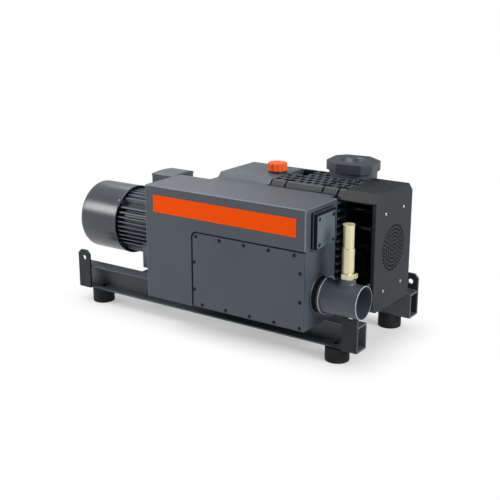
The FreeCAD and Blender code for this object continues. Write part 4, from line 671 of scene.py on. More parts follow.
# %% Turn the rubber feet
groove_depth, groove_half = 0.0016, 0.0028
bm = bmesh.new()
for low, high in solids_in("rubber_feet"):
    radius = (high[0] - low[0]) / 2 - 0.0002
    top = high[2]
    profile = [(0.0, 0.0), (0.0, radius - 0.004), (0.0015, radius - 0.001), (0.004, radius)]
    for level in (0.25, 0.5, 0.75):
        profile += arc(top * level, radius, groove_half, groove_depth, 180, 360, 6)
    profile += [(top - 0.004, radius), (top - 0.0015, radius - 0.001), (top, radius - 0.004), (top, 0.0)]
    lathe(bm, profile, middle(low, high), around=72)
new_piece("foot_buffers", bm, foot_rubber, "rubber_feet")
print("feet turned, radius", round(radius, 4), "height", round(top, 4))

# %% [markdown]
# ## Bolts
#
# The fixings are told apart by their heads. The silencer's covers are held by small dark domed screws with a
# socket, each on its washer. The hood has the same kind in bright zinc, and the feet have big hexagon bolts.
# Every hexagon head is a hexagon cut by a cone: its corners fall away in small arcs.

# %% Cover screws
def socket_screw(bm, place, axis, seat, way, size):
    """A domed head on a washer, with a hexagon socket; way is the side that it stands up on."""
    washer = [(seat, 0.0), (seat, size * 1.40), (seat + way * size * 0.14, size * 1.40),
              (seat + way * size * 0.20, size * 1.32), (seat + way * size * 0.20, 0.0)]
    dome = [(seat + way * size * 0.18, 0.0), (seat + way * size * 0.18, size * 1.12)]
    dome += arc(seat + way * size * 0.20, 0.0, way * size * 0.42, size * 1.12, 77, 25, 4)
    dome.append((seat + way * size * 0.59, size * 0.44))
    socket = [(seat + way * size * 0.59, size * 0.44), (seat + way * size * 0.30, size * 0.42),
              (seat + way * size * 0.30, 0.0)]
    lathe(bm, washer, place, axis, 36)
    lathe(bm, dome, place, axis, 36)
    lathe(bm, socket, place, axis, 36, hexagonal(size * 0.70))


front_screw, end_screw = 0.0072, 0.0074
housing_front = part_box("silencer_housing")[0][1]
bm = bmesh.new()
for low, high in solids_in("silencer_bolts"):
    centre = middle(low, high)
    if high[1] < housing_front + 0.02:
        socket_screw(bm, centre, "Y", high[1], -1, front_screw)
    else:
        socket_screw(bm, centre, "X", low[0], 1, end_screw)
new_piece("cover_screws", bm, black_steel, "silencer_bolts")
print("cover screws:", len(solids_in("silencer_bolts")))

# %% Foot bolts
def hexagon_bolt(bm, place, axis, seat, way, washer, head, flats, around=36):
    """A head on a washer: washer is (radius, thickness), head is (radius, top radius, side, height)."""
    radius, thick = washer
    lathe(bm, [(seat, 0.0), (seat, radius), (seat + way * thick, radius), (seat + way * thick, 0.0)],
          place, axis, around)
    radius, top_radius, side, height = head
    lathe(bm, [(seat + way * thick, 0.0), (seat + way * thick, radius), (seat + way * side, radius),
               (seat + way * height, top_radius), (seat + way * height, 0.0)], place, axis, around, hexagonal(flats))


head_height = 0.011
bm = bmesh.new()
for low, high in solids_in("foot_bolts"):
    hexagon_bolt(bm, middle(low, high), "Z", high[2] - head_height, 1, (0.015, 0.0025),
                 (0.0138, 0.0118, 0.009, head_height), 0.024)
new_piece("buffer_bolts", bm, black_steel, "foot_bolts", edge=0.0004, segments=1)
print("made so far:", made)

# %% [markdown]
# The hood's bolts are flat domes with a small hexagon socket. They are turned just as high as their solids, so
# that nothing stands out past the machine's box.

# %% Domed hood bolts
hood_low, hood_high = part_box("fan_hood")
bm = bmesh.new()
for low, high in solids_in("hood_bolts"):
    centre = middle(low, high)
    seat = hood_high[0]
    radius = (high[1] - low[1]) / 2
    rise = high[0] - seat
    dome = [(seat, 0.0), (seat, radius), (seat + rise * 0.2, radius)]
    dome += arc(seat + rise * 0.2, 0.0, rise * 0.8, radius, 76, 20, 4)
    dome += [(seat + rise, 0.0035)]
    lathe(bm, dome, centre, "X", 36)
    lathe(bm, [(seat + rise, 0.0034), (seat + rise * 0.35, 0.0034), (seat + rise * 0.35, 0.0)], centre, "X", 36,
          hexagonal(0.0056))
new_piece("hood_domes", bm, bolt_zinc, "hood_bolts", edge=0.0003, segments=1)
print("hood bolts:", len(solids_in("hood_bolts")))

# %% [markdown]
# ## Cutting sheet metal
#
# A flat sheet with holes is best drawn, not modelled: closed outlines in a plane, the largest one is the sheet
# and those inside it are its holes. A curve object fills them, gives them thickness and rounds their edges,
# and its mesh is then turned to the direction that the sheet faces.

# %% Sheets from drawn outlines
def cut_sheet(bm, outlines, low, high, axis, edge):
    """Add a sheet to bm: outlines are closed point lists in the plane across axis, low and high are its faces."""
    curve = bpy.data.curves.new("outline", "CURVE")
    curve.dimensions = "2D"
    curve.fill_mode = "BOTH"
    curve.extrude = (high - low) / 2 - edge
    curve.bevel_depth = edge
    curve.bevel_resolution = 1
    curve.offset = -edge
    for outline in outlines:
        spline = curve.splines.new("POLY")
        spline.points.add(len(outline) - 1)
        for point, (a, b) in zip(spline.points, outline):
            point.co = (a, b, 0, 1)
        spline.use_cyclic_u = True
    drawn = bpy.data.objects.new("outline", curve)
    bpy.context.scene.collection.objects.link(drawn)
    mesh = bpy.data.meshes.new_from_object(drawn.evaluated_get(bpy.context.evaluated_depsgraph_get()))
    centre = (low + high) / 2
    for vert in mesh.vertices:
        a, b, c = vert.co
        vert.co = (centre + c, a, b) if axis == "X" else (a, b, centre + c)
    bm.from_mesh(mesh)
    bpy.data.objects.remove(drawn)
    bpy.data.curves.remove(curve)
    bpy.data.meshes.remove(mesh)


print("sheet cutting ready")

# %% [markdown]
# ## Access plate
#
# The silencer is opened through a large plate that lies in a recess of its front, with a dark joint round it.
# The plate's upper left corner is round. It is cut from sheet, and drawn lying down, so a helper stands it up.

# %% Cut the access plate
plate_low, plate_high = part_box("access_plate")
joint_width = 0.0088
joint_overlap = 0.005
trim = joint_width - joint_overlap
round_corner = 0.028
left, right = plate_low[0], plate_high[0]
sill, lintel = plate_low[2], plate_high[2]


def corner_arc(x, z, radius):
    """Points of a quarter round from the left side up to the top; x, z is the square corner."""
    return arc(x + radius, z - radius, radius, radius, 180, 90, 10)


def upright_strip(front, back, foot, head):
    """A rectangle in a plane that faces the end, as (y, z) points."""
    return [(front, foot), (back, foot), (back, head), (front, head)]


def cut_front(bm, outlines, near, far, edge):
    """A sheet that faces the front: outlines are (x, z) points, near and far its two faces along Y."""
    sheet_mesh = bmesh.new()
    cut_sheet(sheet_mesh, outlines, near, far, "Z", edge)
    for vert in sheet_mesh.verts:
        x, z, y = vert.co
        vert.co = (x, y, z)
    spare = bpy.data.meshes.new("spare")
    sheet_mesh.to_mesh(spare)
    sheet_mesh.free()
    bm.from_mesh(spare)
    bpy.data.meshes.remove(spare)


plate_corner = corner_arc(left + trim, lintel - trim, round_corner)
bm = bmesh.new()
cut_front(bm, [[(right, lintel - trim), (right, sill), (left + trim, sill)] + plate_corner],
          plate_low[1], plate_high[1], 0.0010)
new_piece("access_sheet", bm, housing_paint, "access_plate")
print("access plate", round(right - left, 3), "m wide, joint", joint_width)

# %% [markdown]
# At the bottom of the joint lies a rubber seal, an angled band under the plate's edge that also shows round the
# corner on the silencer's end. The recess has a round corner too. The solid's recess is square there, so a small
# filled corner makes the round.

# %% Seal and corner of the recess
recess_depth = 0.010
seal_corner = corner_arc(left - joint_overlap, lintel + joint_overlap, round_corner + joint_overlap)
outline = [(left - joint_overlap, sill)] + seal_corner + [(right, lintel + joint_overlap), (right, lintel - trim)]
outline += plate_corner[::-1] + [(left + trim, sill)]
bm = bmesh.new()
cut_front(bm, [outline], plate_low[1] + 0.0022, housing_front + recess_depth, 0.0002)
cut_sheet(bm, [upright_strip(housing_front + 0.002, housing_front + 0.020, lintel - trim, lintel + joint_overlap)],
          right - 0.002, right + 0.0008, "X", 0.0002)
new_piece("joint_seal", bm, seal_rubber, "silencer_gaskets", instead=False)

fill_left, fill_top = left - joint_overlap - 0.0002, lintel + joint_overlap + 0.0002
bm = bmesh.new()
cut_front(bm, [[(fill_left, fill_top)] + corner_arc(fill_left, fill_top, round_corner + joint_overlap)],
          housing_front + 0.0001, housing_front + recess_depth, 0.0003)
new_piece("recess_corner", bm, housing_paint, "silencer_housing", instead=False)
print("recess", recess_depth, "m deep")

# %% [markdown]
# The block's plates stand against the silencer's top edge, and a black strip along that edge is painted shade of
# the gap between them. The end cover lies on a seal that shows as a black step at its sides, and a black band on
# the side wall of its frame is painted shade of a groove. Both are hoops over three sides of the cover, so one
# function draws them.

# %% Top shade strip, cover seal and frame shade band
# A black strip on the silencer's top edge: painted shade of the gap under the block's plates.
strip_front, strip_back = -0.2160, -0.2045
silencer_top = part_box("silencer_housing")[1][2]
bm = bmesh.new()
cut_sheet(bm, [upright_strip(strip_front, strip_back, silencer_top - 0.001, silencer_top + 0.0014)],
          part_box("side_plate_gear")[0][0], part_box("side_plate_fan")[1][0] + 0.016, "X", 0.0004)
new_piece("top_shade_strip", bm, seal_rubber, "silencer_gaskets", instead=False)

cover_low, cover_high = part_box("end_cover_plate")


def step_around(bm, start, stop, near, far, rise):
    """A hoop over the cover's two sides and top: near and far are distances from its edge, rise is above it."""
    outline = [(cover_low[1] - far, cover_low[2]), (cover_low[1] - far, cover_high[2] + rise + far - near),
               (cover_high[1] + far, cover_high[2] + rise + far - near), (cover_high[1] + far, cover_low[2]),
               (cover_high[1] + near, cover_low[2]), (cover_high[1] + near, cover_high[2] + rise),
               (cover_low[1] - near, cover_high[2] + rise), (cover_low[1] - near, cover_low[2])]
    cut_sheet(bm, [outline], start, stop, "X", 0.0002)


bm = bmesh.new()
step_around(bm, cover_low[0] - 0.0058, cover_high[0] - 0.0015, 0.0002, 0.0090, 0.0002)
new_piece("cover_seal", bm, seal_rubber, "silencer_gaskets", instead=False)
# A black band on the side wall of the cover's frame: painted shade of a groove.
bm = bmesh.new()
step_around(bm, cover_low[0] - 0.0195, cover_low[0] - 0.0100, 0.0138, 0.0146, 0.0138)
new_piece("frame_shade_band", bm, seal_rubber, "silencer_gaskets", instead=False)
print("cover", round(cover_high[2] - cover_low[2], 3), "m high, strip at z", round(silencer_top, 3))

# %% [markdown]
# ## Motor cowl
#
# The motor's fan sits under a round cowl, drawn from thin sheet with a generous radius at its closed end. The
# end is a grille of ring-shaped slots, interrupted by two crossing bars. The mouth has a small rolled bead,
# which stiffens it, and four screws hold it to the motor's end shield.

# %% Turn the cowl
cowl_low, cowl_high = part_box("fan_cowl")
cowl_axis = middle(cowl_low, cowl_high)
cowl_radius = (cowl_high[2] - cowl_low[2]) / 2
sheet = 0.003
corner = 0.024
grille_edge = 0.160
bead_at = cowl_high[0] - 0.0045
bend_at = (cowl_low[0] + corner, cowl_radius - corner)
profile = [(cowl_low[0], grille_edge)] + arc(*bend_at, corner, corner, 180, 90, 8)
profile += [(bead_at - 0.004, cowl_radius)] + arc(bead_at, cowl_radius, 0.003, 0.0016, 180, 0, 6)
profile += [(cowl_high[0], cowl_radius - 0.0006), (cowl_high[0], cowl_radius - sheet)]
profile += arc(*bend_at, corner - sheet, corner - sheet, 90, 180, 8) + [(cowl_low[0] + sheet, grille_edge)]
cowl_mesh = bmesh.new()
lathe(cowl_mesh, profile, cowl_axis, "X", 128, closed=True)
print("cowl radius", round(cowl_radius, 4))

# %% [markdown]
# The grille's slots are parts of rings. Each outline runs along the outer arc of its slot and back along the
# inner one, and stops where the crossing bars stay.

# %% Cut the cowl's grille
ring_pitch = (cowl_radius - 2 * corner) / 7
bar_half = 0.006
outlines = [circle(cowl_axis[1], cowl_axis[2], grille_edge, 128)]
for ring in range(1, 7):
    outer = ring_pitch * (ring + 0.75)
    inner = ring_pitch * (ring + 0.25)
    for quarter in range(4):
        slot = []
        for radius, way in ((outer, 1), (inner, -1)):
            start = math.asin(bar_half / radius)
            stop = math.pi / 2 - start
            steps = [start + (stop - start) * i / 16 for i in range(17)]
            for angle in steps[::way]:
                turn = angle + quarter * math.pi / 2
                slot.append((cowl_axis[1] + radius * math.cos(turn), cowl_axis[2] + radius * math.sin(turn)))
        outlines.append(slot)
cut_sheet(cowl_mesh, outlines, cowl_low[0], cowl_low[0] + sheet, "X", 0.0004)
new_piece("cowl_shell", cowl_mesh, motor_paint, "fan_cowl")
print("grille slots:", len(outlines) - 1)

# %% [markdown]
# The four screws stand on the cowl's round side. Each is turned upright on its top and then swung round the
# motor's axis to its place.

# %% Screws round the cowl's mouth
bm = bmesh.new()
for turn in (45, 135, 225, 315):
    before = set(bm.verts)
    seat = cowl_axis[2] + cowl_radius
    at_top = (cowl_high[0] - 0.016, cowl_axis[1], 0.0)
    lathe(bm, [(seat - 0.001, 0.0), (seat - 0.001, 0.0052), (seat + 0.0014, 0.0052), (seat + 0.0030, 0.0038),
               (seat + 0.0034, 0.0022)], at_top, "Z", 24)
    lathe(bm, [(seat + 0.0034, 0.0022), (seat + 0.0012, 0.0020), (seat + 0.0012, 0.0)], at_top, "Z", 24,
          hexagonal(0.0038))
    fresh = [v for v in bm.verts if v not in before]
    bmesh.ops.rotate(bm, verts=fresh, cent=cowl_axis, matrix=Matrix.Rotation(math.radians(turn), 3, "X"))
new_piece("cowl_screws", bm, bolt_zinc, "fan_cowl", instead=False)
print("cowl screws set")

# %% [markdown]
# ## Motor flange bolts
#
# Behind the motor's cast flange sit eight hexagon bolts that hold it to the bell housing. They stand on the
# motor's side of the flange, between its fins and its rim.

# %% Bolts of the motor flange
flange_thick = 0.020
bolt_circle = 0.1825
flange_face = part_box("bell_housing")[0][0] - flange_thick
bm = bmesh.new()
for i in range(8):
    angle = math.radians(22.5 + 45 * i)
    place = (0.0, cowl_axis[1] + bolt_circle * math.cos(angle), cowl_axis[2] + bolt_circle * math.sin(angle))
    hexagon_bolt(bm, place, "X", flange_face, -1, (0.0125, 0.0022), (0.0110, 0.0096, 0.0095, 0.0112), 0.019)
new_piece("motor_flange_bolts", bm, bolt_zinc, "foot_bolts", instead=False)
print("flange face at x", round(flange_face, 4))

# %% [markdown]
# ## Discharge pipe
#
# The air leaves through an open pipe at the silencer's right end. It is a plain length of steel pipe, pushed
# into a turned collar and welded. Its open end has small chamfers outside and inside.

# %% Turn the pipe
pipe_low, pipe_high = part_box("discharge_pipe")
collar_low, collar_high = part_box("discharge_flange")
pipe_y = (pipe_low[1] + pipe_high[1]) / 2
pipe_radius = (pipe_high[1] - pipe_low[1]) / 2
pipe_z = pipe_low[2] + pipe_radius
bore = pipe_radius - 0.0045
pipe_mesh = bmesh.new()
lathe(pipe_mesh, [(pipe_low[0], bore), (pipe_low[0], pipe_radius), (pipe_high[0] - 0.0016, pipe_radius),
                  (pipe_high[0] - 0.0005, pipe_radius - 0.0005), (pipe_high[0], pipe_radius - 0.0016),
                  (pipe_high[0], bore + 0.0010), (pipe_high[0] - 0.0010, bore)],
      (0, pipe_y, pipe_z), "X", 128, closed=True)
print("pipe radius", round(pipe_radius, 5), "axis z", round(pipe_z, 4))

# %% [markdown]
# On the pipe's top sits a round boss for the relief valve. Where two pipes meet, the joint line is a saddle:
# every point of the boss's rim goes down to the pipe's own curve. The weld follows that line as a hollow fillet,
# and the paint runs over it without a step. Each row of the fillet says how far outside the boss it lies and how
# high above the pipe.

# %% Boss and weld
bonnet_low, bonnet_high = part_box("relief_valve_bonnet")
boss_x = bonnet_low[0] + 0.030
boss_radius = 0.040
around = 96
fillet = ((0.0130, -0.0003), (0.0100, 0.0006), (0.0070, 0.0021), (0.0042, 0.0045), (0.0018, 0.0078),
          (0.0004, 0.0118), (0.0, 0.0155))
rows = []
for reach, rise in fillet:
    row = []
    for i in range(around):
        angle = 2 * math.pi * i / around
        radius = boss_radius + reach
        side = radius * math.sin(angle)
        height = math.sqrt(pipe_radius ** 2 - side ** 2)
        row.append((boss_x + radius * math.cos(angle), pipe_y + side, pipe_z + height + rise))
    rows.append(row)
top = pipe_high[2]
for radius, z in ((boss_radius, top - 0.0030), (boss_radius - 0.0009, top - 0.0009), (boss_radius - 0.0030, top)):
    rows.append([(x, y, z) for x, y in circle(boss_x, pipe_y, radius, around)])
rings = [[pipe_mesh.verts.new(point) for point in row] for row in rows]
skin(pipe_mesh, rings)
pipe_mesh.faces.new(rings[-1])
new_piece("pipe_and_boss", pipe_mesh, sheet_paint, "discharge_pipe")
print("boss at x", round(boss_x, 4), "top", round(top, 4))

# %% [markdown]
# The collar at the pipe's root is turned from a ring: a thin flange against the silencer's end and a thicker
# sleeve, whose end is rounded and closed by a round weld on the pipe.

# %% Collar and its weld
collar_radius = 0.090
flange_radius = (collar_high[1] - collar_low[1]) / 2
profile = [(collar_low[0], pipe_radius), (collar_low[0], flange_radius), (collar_low[0] + 0.0065, flange_radius),
           (collar_low[0] + 0.0080, flange_radius - 0.0015), (collar_low[0] + 0.0080, collar_radius + 0.0030),
           (collar_low[0] + 0.0088, collar_radius + 0.0009), (collar_low[0] + 0.0110, collar_radius)]
profile += arc(collar_high[0] - 0.0050, collar_radius - 0.0028, 0.0028, 0.0028, 90, 0, 6)
profile += [(collar_high[0] - 0.0022, pipe_radius + 0.0030), (collar_high[0] - 0.0008, pipe_radius + 0.0024),
            (collar_high[0], pipe_radius + 0.0009), (collar_high[0] + 0.0003, pipe_radius)]
bm = bmesh.new()
lathe(bm, profile, (0, pipe_y, pipe_z), "X", 128, closed=True)
new_piece("pipe_collar", bm, sheet_paint, "discharge_flange")
print("collar from x", round(collar_low[0], 4), "to", round(collar_high[0], 4))

# %% [markdown]
# ## Relief valve
#
# The valve is bright brass, turned from hexagon bar. The hexagon for the spanner is left at its foot, with its
# corners cut off by the lathe's chamfer at both ends. Above a relief groove stands the plain barrel, and on it
# the slimmer bonnet with its small flared rim. A side lug with a round port sits on the hexagon.

# %% Valve body
body_low, body_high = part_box("relief_valve_body")
valve = (boss_x, pipe_y, 0.0)
hex_top = body_low[2] + 0.028
hex_across, hex_corner, hex_end = 0.062, 0.0358, 0.0322
barrel = 0.0305
bm = bmesh.new()
lathe(bm, [(body_low[2], 0.0), (body_low[2], hex_end), (body_low[2] + 0.0020, hex_corner),
           (hex_top - 0.0020, hex_corner), (hex_top, hex_end), (hex_top, 0.0)],
      valve, "Z", 96, hexagonal(hex_across))
lathe(bm, [(hex_top - 0.0005, 0.0), (hex_top - 0.0005, barrel - 0.003), (hex_top + 0.0030, barrel - 0.003),
           (hex_top + 0.0040, barrel - 0.0014), (hex_top + 0.0050, barrel - 0.0004), (hex_top + 0.0062, barrel),
           (body_high[2] - 0.0014, barrel), (body_high[2] - 0.0004, barrel - 0.0004),
           (body_high[2], barrel - 0.0014), (body_high[2], 0.0)], valve, "Z", 96)
port_y = pipe_y + 0.014
port_z = (body_low[2] + 0.004 + hex_top) / 2
port_root, port_deep = boss_x + 0.012, body_high[0] - 0.010
lug_corner, port_radius = 0.0165, 0.0082
lathe(bm, [(port_root, 0.0), (port_root, lug_corner), (body_high[0] - 0.0012, lug_corner),
           (body_high[0], 0.0150), (body_high[0], 0.0090), (body_high[0] - 0.0008, port_radius),
           (port_deep, port_radius), (port_deep, 0.0)], (0, port_y, port_z), "X", 48, oblong(0.028, 0.024))
new_piece("valve_body", bm, pale_brass, "relief_valve_body", edge=0.0004)
print("hexagon from z", round(body_low[2], 4), "to", round(hex_top, 4))

# %% [markdown]
# The bonnet screws onto the barrel and keeps the spring in. It is one turned profile, closed at the top, with a
# rim that flares out by three millimetres and a shallow dish inside it.

# %% Valve bonnet
sleeve = 0.027
profile = [(bonnet_low[2], 0.0), (bonnet_low[2], sleeve - 0.0008), (bonnet_low[2] + 0.0008, sleeve),
           (bonnet_high[2] - 0.0075, sleeve), (bonnet_high[2] - 0.0060, sleeve + 0.0003),
           (bonnet_high[2] - 0.0016, sleeve + 0.0026), (bonnet_high[2] - 0.0006, sleeve + 0.0027),
           (bonnet_high[2], sleeve + 0.0018), (bonnet_high[2], sleeve - 0.0040),
           (bonnet_high[2] - 0.0008, sleeve - 0.0050), (bonnet_high[2] - 0.0008, 0.0)]
bm = bmesh.new()
lathe(bm, profile, valve, "Z", 96)
new_piece("valve_bonnet", bm, pale_brass, "relief_valve_bonnet")
print("bonnet from z", round(bonnet_low[2], 4), "to", round(bonnet_high[2], 4))

# %% [markdown]
# ## Oil cap
#
# Oil is filled through a black ring on the gear case, closed by an orange moulded cap. Its side is fluted, so
# that it can be gripped with oily fingers: a lathe profile whose radius dips in twelve places. Moulded plastic
# has soft edges, so the top runs over in a round of six millimetres and its middle is slightly sunk.

# %% Cap and filler ring
cap_low, cap_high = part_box("oil_cap")
cap_axis = middle(cap_low, cap_high)
cap_radius = (cap_high[1] - cap_low[1]) / 2
cap_round = 0.0060
flutes, flute_depth = 12, 0.005


def fluted(full, count, dip):
    """A radius that dips by round flutes; the lobes between them stay at the full radius."""
    def shape(angle, radius):
        pitch = 2 * math.pi / count
        off = abs((angle + pitch / 2) % pitch - pitch / 2) * full
        depth = dip * 0.5 * (1 + math.cos(math.pi * min(off / (1.25 * dip), 1.0)))
        return min(radius, full - depth + max(0.0, radius - full))
    return shape


profile = [(cap_low[2], 0.0), (cap_low[2], cap_radius - 0.0012), (cap_low[2] + 0.0012, cap_radius)]
profile += arc(cap_high[2] - cap_round, cap_radius - cap_round, cap_round, cap_round, 90, 0, 7)
profile += [(cap_high[2], cap_radius - 0.0105), (cap_high[2] - 0.0004, cap_radius - 0.0115),
            (cap_high[2] - 0.0012, cap_radius - 0.0140), (cap_high[2] - 0.0012, 0.0)]
bm = bmesh.new()
lathe(bm, profile, cap_axis, "Z", 240, fluted(cap_radius, flutes, flute_depth))
new_piece("fluted_cap", bm, cap_plastic, "oil_cap", body="filler_cap")

ring_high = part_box("oil_filler_neck")[1]
case_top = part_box("gear_case")[1][2]
bm = bmesh.new()
lathe(bm, [(case_top, 0.0), (case_top, 0.0490), (case_top + 0.0100, 0.0490), (case_top + 0.0114, 0.0484),
           (case_top + 0.0120, 0.0470), (case_top + 0.0120, 0.0357), (ring_high[2] - 0.0010, 0.0357),
           (ring_high[2], 0.0347), (ring_high[2], 0.0300), (case_top + 0.002, 0.0300), (case_top + 0.002, 0.0)],
      cap_axis, "Z", 96)
new_piece("filler_ring", bm, black_plastic, "oil_filler_neck")
print("cap radius", round(cap_radius, 4), "case top", round(case_top, 4))

# %% [markdown]
# ## Fan hood
#
# The hood is one folded sheet. Its right end is a flat wall with a round field of vent holes. The sheet wraps
# the top, the rear and the bottom, and at the front it stays open, so the cooling air can enter. Folds in
# sheet this thick have an outer radius of about five millimetres, and the light line of those folds is what
# shows that it is sheet. So the wrap is a swept strip: its outline turns the corners in small arcs, and along
# its right edge it folds inward until it meets the flat wall.

# %% Outline of the hood
front, rear = hood_low[1], hood_high[1]
bottom, top = hood_low[2], hood_high[2]
top_cut, bottom_cut = 0.043, 0.030
corners = [(front, bottom + bottom_cut), (front + bottom_cut, bottom), (rear - bottom_cut, bottom),
           (rear, bottom + bottom_cut), (rear, top - top_cut), (rear - top_cut, top), (front + top_cut, top),
           (front, top - top_cut)]
print("hood outline corners:", len(corners))

# %% [markdown]
# Two helpers make sheet from that outline. One moves its sides inward by the sheet's thickness or the depth of a
# fold, and the other turns its corners in arcs, because sheet can't be bent to a sharp corner.

# %% Move sides inward and turn corners
def moved_in(points, distance, closed=True):
    """The outline with its sides moved inward; an open outline keeps its two ends on their front line."""
    moved = []
    count = len(points)
    for i, (y, z) in enumerate(points):
        before, after = points[i - 1], points[(i + 1) % count]
        first = Vector((y - before[0], z - before[1])).normalized()
        second = Vector((after[0] - y, after[1] - z)).normalized()
        normal_one, normal_two = Vector((-first.y, first.x)), Vector((-second.y, second.x))
        if not closed and i == 0:
            moved.append((y, z + distance / abs(second.x)))
            continue
        if not closed and i == count - 1:
            moved.append((y, z - distance / abs(first.x)))
            continue
        half = (normal_one + normal_two).normalized()
        step = distance / half.dot(normal_one)
        moved.append((y + half.x * step, z + half.y * step))
    return moved


def with_arcs(points, radius, closed=True, steps=6):
    """The outline with every corner turned in an arc."""
    result = []
    count = len(points)
    for i in range(count):
        if not closed and i in (0, count - 1):
            result.append(points[i])
            continue
        at = Vector(points[i])
        back = (Vector(points[i - 1]) - at).normalized()
        ahead = (Vector(points[(i + 1) % count]) - at).normalized()
        half_angle = back.angle(ahead) / 2
        run = radius / math.tan(half_angle)
        start, stop = at + back * run, at + ahead * run
        centre = at + (back + ahead).normalized() * (radius / math.sin(half_angle))
        for k in range(steps + 1):
            blend = start.lerp(stop, k / steps) - centre
            result.append(tuple(centre + blend.normalized() * radius))
    return result


print("points with arcs:", len(with_arcs(corners, 0.005)))

# %% [markdown]
# The wrap is skinned from stations along the machine: each is a place and how far the outline lies inward
# there. The last stations turn the fold at the right edge. The open front has a narrow lip folded from the end
# wall, which stiffens it.

# %% Wrap of the hood
metal = 0.004
fold = 0.005
lip = 0.022
stations = [(hood_low[0], metal), (hood_low[0], 0.0006), (hood_low[0] + 0.0006, 0.0)]
stations += arc(hood_high[0] - fold, fold, fold, fold, -90, 0, 6)
stations += [(hood_high[0] - metal, fold), (hood_high[0] - metal, metal)]
hood_mesh = bmesh.new()
rings = []
for x, inset in stations:
    line = with_arcs(moved_in(corners, inset, closed=False), max(0.0070 - inset, 0.002), closed=False)
    rings.append([hood_mesh.verts.new((x, y, z)) for y, z in line])
for one, two in zip(rings, rings[1:] + rings[:1]):
    for i in range(len(one) - 1):
        hood_mesh.faces.new((one[i], one[i + 1], two[i + 1], two[i]))
for end in (0, -1):
    hood_mesh.faces.new([ring[end] for ring in rings])

lip_stations = [(hood_high[0] - lip, metal), (hood_high[0] - lip, 0.0)] + stations[3:]
skin(hood_mesh, [[hood_mesh.verts.new((x, front + inset, z + slope * inset * 0.4)) for x, inset in lip_stations]
                 for z, slope in ((bottom + bottom_cut, 1), (top - top_cut, -1))], ends=True)
print("hood stations:", len(stations), "lip", lip, "m wide")

# %% [markdown]
# The end wall is a cut sheet. Its vents lie on six rings round one in the middle, six more on each ring than on
# the one inside it, which spreads them evenly. Each is a short slot with round ends that lies along its ring.

# %% End wall of the hood with its vents
vent_rings = 6
vent_pitch = 0.0195
wall_edge = moved_in(corners, fold - 0.0008)
outlines = [with_arcs(wall_edge, 0.0028)]
vent_y = (front + rear) / 2
vent_z = (bottom + top) / 2


def vent_slot(y, z, half_wide=0.0061, half_long=0.0086):
    """A short slot with round ends that lies along its ring."""
    outward = Vector((y - vent_y, z - vent_z))
    outward = outward.normalized() if outward.length > 0.001 else Vector((1.0, 0.0))
    along = Vector((-outward.y, outward.x))
    points = []
    for i in range(16):
        angle = 2 * math.pi * (i + 0.5) / 16
        reach = along * (half_long - half_wide) * (1 if math.cos(angle) > 0 else -1)
        at = Vector((y, z)) + reach + (along * math.cos(angle) + outward * math.sin(angle)) * half_wide
        points.append((at.x, at.y))
    return points


vents = [(vent_y, vent_z)]
for ring in range(1, vent_rings + 1):
    for i in range(6 * ring):
        angle = math.radians(90) + 2 * math.pi * i / (6 * ring)
        vents.append((vent_y + vent_pitch * ring * math.cos(angle), vent_z + vent_pitch * ring * math.sin(angle)))
outlines += [vent_slot(y, z) for y, z in vents]
outlines += [circle(*middle(low, high)[1:], 0.0045, 16) for low, high in solids_in("hood_bolts")]
cut_sheet(hood_mesh, outlines, hood_high[0] - metal, hood_high[0], "X", 0.0003)
new_piece("hood_shell", hood_mesh, hood_paint, "fan_hood")
print("hood vents:", len(vents))

# %% [markdown]
# ## Fittings at the rear
#
# The rear wall of the gear case carries a round oil level glass and a drain plug, where the operator can reach
# them. The glass is a flat pane behind a turned bezel, the plug is a hexagon head on a thin sealing ring.

# %% Level glass and drain plug
glass_low, glass_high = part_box("oil_sight_glass")
glass_axis = middle(glass_low, glass_high)
case_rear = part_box("gear_case")[1][1]
bm = bmesh.new()
lathe(bm, [(case_rear, 0.0200), (case_rear, 0.0320), (case_rear + 0.0048, 0.0320), (case_rear + 0.0064, 0.0310),
           (case_rear + 0.0070, 0.0294), (case_rear + 0.0070, 0.0240), (case_rear + 0.0060, 0.0226),
           (case_rear + 0.0036, 0.0218)], glass_axis, "Y", 72, closed=True)
new_piece("glass_bezel", bm, bolt_zinc, "oil_sight_glass")
bm = bmesh.new()
lathe(bm, [(case_rear - 0.004, 0.0), (case_rear - 0.004, 0.0222), (case_rear + 0.0034, 0.0222),
           (case_rear + 0.0040, 0.0150), (case_rear + 0.0042, 0.0)], glass_axis, "Y", 72)
new_piece("glass_pane", bm, level_glass, "oil_sight_glass", instead=False)
plug_low, plug_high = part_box("oil_drain_plug")
plug_height = plug_high[1] - case_rear
bm = bmesh.new()
hexagon_bolt(bm, middle(plug_low, plug_high), "Y", case_rear, 1, (0.0150, 0.0020),
             (0.0140, 0.0122, plug_height - 0.0018, plug_height), 0.0242, around=48)
new_piece("drain_plug_head", bm, bolt_zinc, "oil_drain_plug", edge=0.0003, segments=1)
print("glass at x", round(glass_axis[0], 3), "z", round(glass_axis[2], 3))

# %% [markdown]
# ## Cable glands
#
# The motor's terminal box has two glands for its cables. Each is a moulded hexagon with a domed nut, and its
# mouth is open, because no cable is connected. The nut is a hexagon too, rounded toward the mouth.

